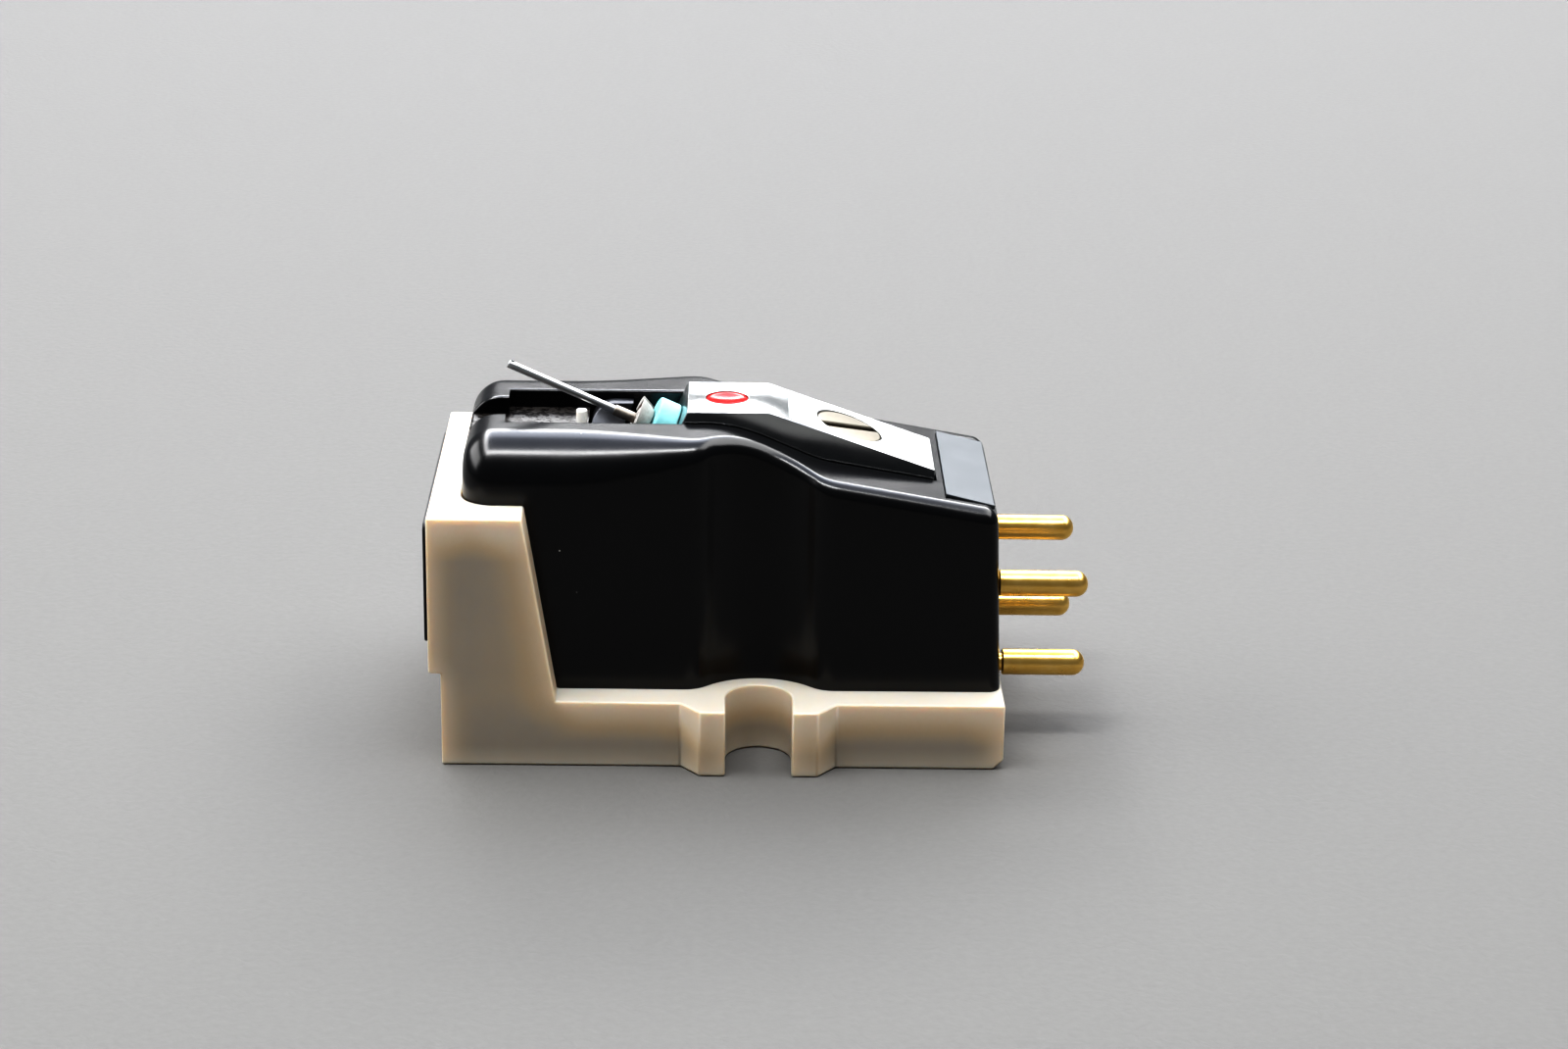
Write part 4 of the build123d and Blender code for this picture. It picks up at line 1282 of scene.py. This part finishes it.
class CARTRIDGE_OT_magnets(bpy.types.Operator):
    """Build the yoke and front pole and finish the magnet and pole rod"""
    bl_idname = "cartridge.magnets"
    bl_label = "Magnetic circuit"

    def execute(self, context):
        edge = context.scene.cartridge_metal.yoke_edge
        steel = blued_steel()
        settle(object_of("ground_yoke", eased_copy("rear_yoke", edge)), ["rear_yoke"], ground_nickel())
        settle(object_of("dark_pole", eased_copy("front_pole", edge)), ["front_pole"], steel)
        dress("magnet", ground_magnet())
        dress("pole_rod", steel)
        return {"FINISHED"}


class CARTRIDGE_OT_screws(bpy.types.Operator):
    """Turn the yoke screw, pour the lacquer seal and finish the set screw"""
    bl_idname = "cartridge.screws"
    bl_label = "Screws and seal"

    def execute(self, context):
        metal = nickel_silver()
        rim_size = context.scene.cartridge_metal.screw_rim / MM
        head_radius = 1.375
        head_foot = -0.77
        head_top = -0.04
        end_break = 0.1
        head_break = 0.03
        outline = [
            (0.0, -SCREW_LENGTH), (SCREW_SHANK - end_break, -SCREW_LENGTH),
            (SCREW_SHANK, end_break - SCREW_LENGTH), (SCREW_SHANK, head_foot),
            (head_radius - head_break, head_foot), (head_radius, head_foot + head_break)]
        outline += rounded(head_radius, head_top, rim_size) + [(0.0, head_top)]
        head = turned(outline, Matrix.Identity(4), 96)
        # The slot's cutter is flared at its mouth, so the slot's edges are broken
        narrow = 0.21
        flared = 0.26
        slot_floor = -0.39
        flare_start = -0.09
        above = 0.3
        slot = prism([
            (-narrow, slot_floor), (narrow, slot_floor), (narrow, flare_start), (flared, head_top),
            (flared, above), (-flared, above), (-flared, head_top), (-narrow, flare_start)], "X", -2.0, 2.0)
        slot.transform(Matrix.Rotation(SLOT_TURN, 4, "Z"))
        form = carved(head, [slot])
        form.transform(on_slope(SCREW_X))
        settle(object_of("slotted_screw", form), ["yoke_screw"], metal)

        seal_radius = 0.845
        seal_break = 0.045
        floor = YOKE_TOP - 0.585
        brim_height = YOKE_TOP - 0.06
        brim = 0.78
        sag = 0.1
        rings = 13
        outline = [(0.0, floor), (seal_radius - seal_break, floor), (seal_radius, floor + seal_break)]
        outline += rounded(seal_radius, brim_height, 0.05)
        dish = [brim * (1 - step / rings) for step in range(1, rings)]
        outline += [(radius, brim_height - sag * (1 - (radius / brim) ** 2)) for radius in dish]
        outline += [(0.0, brim_height - sag)]
        seal = turned(outline, Matrix.Translation((SEAL_X, 0, 0)), 64)
        settle(object_of("red_seal", seal), ["lacquer_seal"], red_lacquer(), angle=60.0)
        dress("set_screw", metal)
        return {"FINISHED"}


class CARTRIDGE_OT_pins(bpy.types.Operator):
    """Grow the four gold terminal pins"""
    bl_idname = "cartridge.pins"
    bl_label = "Terminal pins"

    def execute(self, context):
        settings = context.scene.cartridge_pins
        upper_low, upper_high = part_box("pin_left_signal")
        lower_low, lower_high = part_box("pin_left_ground")
        upper = (upper_low + upper_high) / 2
        lower = (lower_low + lower_high) / 2
        gold = gold_plate()
        made = grown("gold_pins", pins_tree(), {
            "Spacing": upper.y, "Upper Height": upper.z, "Lower Height": lower.z,
            "Upper Root": UPPER_PIN_ROOT * MM, "Lower Root": LOWER_PIN_ROOT * MM,
            "Tail Start": upper_low.x, "Neck Start": HOLLOW_REAR * MM, "Tip": upper_high.x,
            "Tail Radius": PIN_TAIL_RADIUS * MM, "Neck Radius": PIN_NECK_RADIUS * MM,
            "Radius": settings.radius, "Nose": settings.nose, "Sides": settings.sides,
            "Material": gold})
        settle(made, PIN_NODES, gold)
        return {"FINISHED"}


class CARTRIDGE_OT_arm(bpy.types.Operator):
    """Build the cantilever, sleeve, former, coils and tip"""
    bl_idname = "cartridge.arm"
    bl_label = "Stylus arm"

    def execute(self, context):
        settings = context.scene.cartridge_arm
        front = -5.72
        rear = -0.27
        plug = front + 0.55
        radius = 0.165
        bore = 0.1
        outline = [(0.0, front), *reversed(rounded(radius, front, 0.05, -1))]
        outline += [(radius, along) for along in spread([front + 0.3, rear], 0.4)]
        outline += [(bore, rear), (bore, plug), (0.0, plug)]
        tube = turned(outline, ARM_PLACE, 40)
        tip_low, tip_high = box_of("stylus_tip")
        tip_x = (tip_low.x + tip_high.x) / 2
        seat = rod_form(0.085, Matrix.Translation((tip_x, 0, 0)), tip_low.z - 1, tip_high.z + 1, 24)
        settle(object_of("cantilever", carved(tube, [seat])), ["cantilever_tube"], drawn_aluminium())

        front = -1.02
        rear = 0.12
        radius = 0.225
        bore = 0.178
        rear_break = 0.02
        sleeve = [(bore, front), *reversed(rounded(radius, front, 0.03, -1)), (radius, rear - rear_break),
                  (radius - rear_break, rear), (bore, rear)]
        settle(object_of("cantilever_sleeve_turned", turned(sleeve, ARM_PLACE, 40, True)),
               ["cantilever_sleeve"], sleeve_metal())
        settle(object_of("coil_former", eased_copy("armature", 0.02 * MM, 2)), ["armature"], grey_former())

        shank = 0.075
        shank_break = 0.015
        cone_foot = tip_high.z - 0.1
        diamond = turned([
            (0.0, tip_low.z), (shank - shank_break, tip_low.z), (shank, tip_low.z + shank_break),
            (shank, cone_foot), (0.03, tip_high.z - 0.03), (0.012, tip_high.z - 0.005),
            (0.0, tip_high.z)], Matrix.Translation((tip_x, 0, 0)), 16)
        settle(object_of("diamond_tip", diamond), ["stylus_tip"], ground_diamond())

        copper = enamelled_copper()
        wire = settings.wire_radius
        winding_start = 0.4 * MM
        winding_length = 0.21 * MM
        winding_depth = 0.5 * MM
        winding_width = 0.58 * MM
        winding_middle = 0.19 * MM
        pitch = winding_length / settings.coil_turns
        tree = winding_tree()
        for node, turn in (("coil_left", 45), ("coil_right", 135)):
            made = grown("wound_" + node, tree, {
                "Turns": settings.coil_turns, "Start": winding_start + pitch / 2, "Pitch": pitch,
                "Depth": winding_depth - 2 * wire, "Width": winding_width - 2 * wire,
                "Wire Radius": wire, "Turn": math.radians(turn), "Height": winding_middle,
                "Material": copper})
            where = ARM_PLACE.copy()
            where.translation = ARM_ROOT * MM
            made.data.transform(where)
            settle(made, [node], copper, angle=60.0)
        return {"FINISHED"}


class CARTRIDGE_OT_suspension(bpy.types.Operator):
    """Build the rubber damper and finish the suspension wire"""
    bl_idname = "cartridge.suspension"
    bl_label = "Damper and suspension"

    def execute(self, context):
        settings = context.scene.cartridge_arm
        front = 0.56
        rear = 1.464
        radius = 1.25
        bore = 0.16
        spans = 8
        size = settings.rubber_round / MM
        wall = front - rear + 2 * size
        outline = [(bore, rear), *reversed(rounded(radius, rear, size))]
        outline += [(radius, rear - size + wall * step / spans) for step in range(1, spans)]
        outline += rounded(radius, front, size, -1) + [(bore, front)]
        outline += [(bore, front + (rear - front) * step / spans) for step in range(1, spans)]
        made = object_of("rubber_damper", turned(outline, ARM_PLACE, 64, True))
        settle(made, ["damper"], turquoise_rubber(settings.rubber_colour), angle=50.0, ride=False)
        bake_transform(made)
        dress("suspension_wire", spring_steel())
        return {"FINISHED"}


class CARTRIDGE_OT_inside(bpy.types.Operator):
    """Shape the sight peg and finish the terminal block and leads"""
    bl_idname = "cartridge.inside"
    bl_label = "Peg, block and leads"

    def execute(self, context):
        low, high = box_of("sight_peg")
        middle = (low + high) / 2
        radius = 0.23
        outline = [(0.0, low.z), (radius, low.z), *rounded(radius, high.z, 0.06), (0.0, high.z)]
        peg = turned(outline, Matrix.Translation((middle.x, middle.y, 0)), 40)
        settle(object_of("white_peg", peg), ["sight_peg"], white_nylon())
        dress("terminal_block", brown_phenolic())
        copper = enamelled_copper()
        for channel in ("left_signal", "left_ground", "right_signal", "right_ground"):
            dress("lead_" + channel, copper)
        return {"FINISHED"}


STEPS = (
    CARTRIDGE_OT_stage,
    CARTRIDGE_OT_base,
    CARTRIDGE_OT_shell,
    CARTRIDGE_OT_plates,
    CARTRIDGE_OT_magnets,
    CARTRIDGE_OT_screws,
    CARTRIDGE_OT_pins,
    CARTRIDGE_OT_arm,
    CARTRIDGE_OT_suspension,
    CARTRIDGE_OT_inside,
)
GROUPS = {
    "cartridge_stage": StageSettings,
    "cartridge_shell": ShellSettings,
    "cartridge_base": BaseSettings,
    "cartridge_metal": MetalSettings,
    "cartridge_pins": PinSettings,
    "cartridge_arm": ArmSettings,
}


class CARTRIDGE_PT_build(bpy.types.Panel):
    """Steps that build the cartridge, and the sizes they use"""
    bl_idname = "CARTRIDGE_PT_build"
    bl_label = "Phono Cartridge"
    bl_space_type = "VIEW_3D"
    bl_region_type = "UI"
    bl_category = "Cartridge"

    def draw(self, context):
        column = self.layout.column(align=True)
        for step in STEPS:
            column.operator(step.bl_idname)
        for attribute in GROUPS:
            group = getattr(context.scene, attribute)
            block = self.layout.box()
            for label in group.__annotations__:
                block.prop(group, label)


def register():
    for group in GROUPS.values():
        bpy.utils.register_class(group)
    for attribute, group in GROUPS.items():
        setattr(bpy.types.Scene, attribute, PointerProperty(type=group))
    for step in STEPS:
        bpy.utils.register_class(step)
    bpy.utils.register_class(CARTRIDGE_PT_build)


def unregister():
    bpy.utils.unregister_class(CARTRIDGE_PT_build)
    for step in reversed(STEPS):
        bpy.utils.unregister_class(step)
    for attribute in GROUPS:
        delattr(bpy.types.Scene, attribute)
    for group in reversed(list(GROUPS.values())):
        bpy.utils.unregister_class(group)


def main():
    register()
    bpy.ops.cartridge.stage()
    bpy.ops.cartridge.base()
    bpy.ops.cartridge.shell()
    bpy.ops.cartridge.plates()
    bpy.ops.cartridge.magnets()
    bpy.ops.cartridge.screws()
    bpy.ops.cartridge.pins()
    bpy.ops.cartridge.arm()
    bpy.ops.cartridge.suspension()
    bpy.ops.cartridge.inside()


if __name__ == "__main__":
    main()
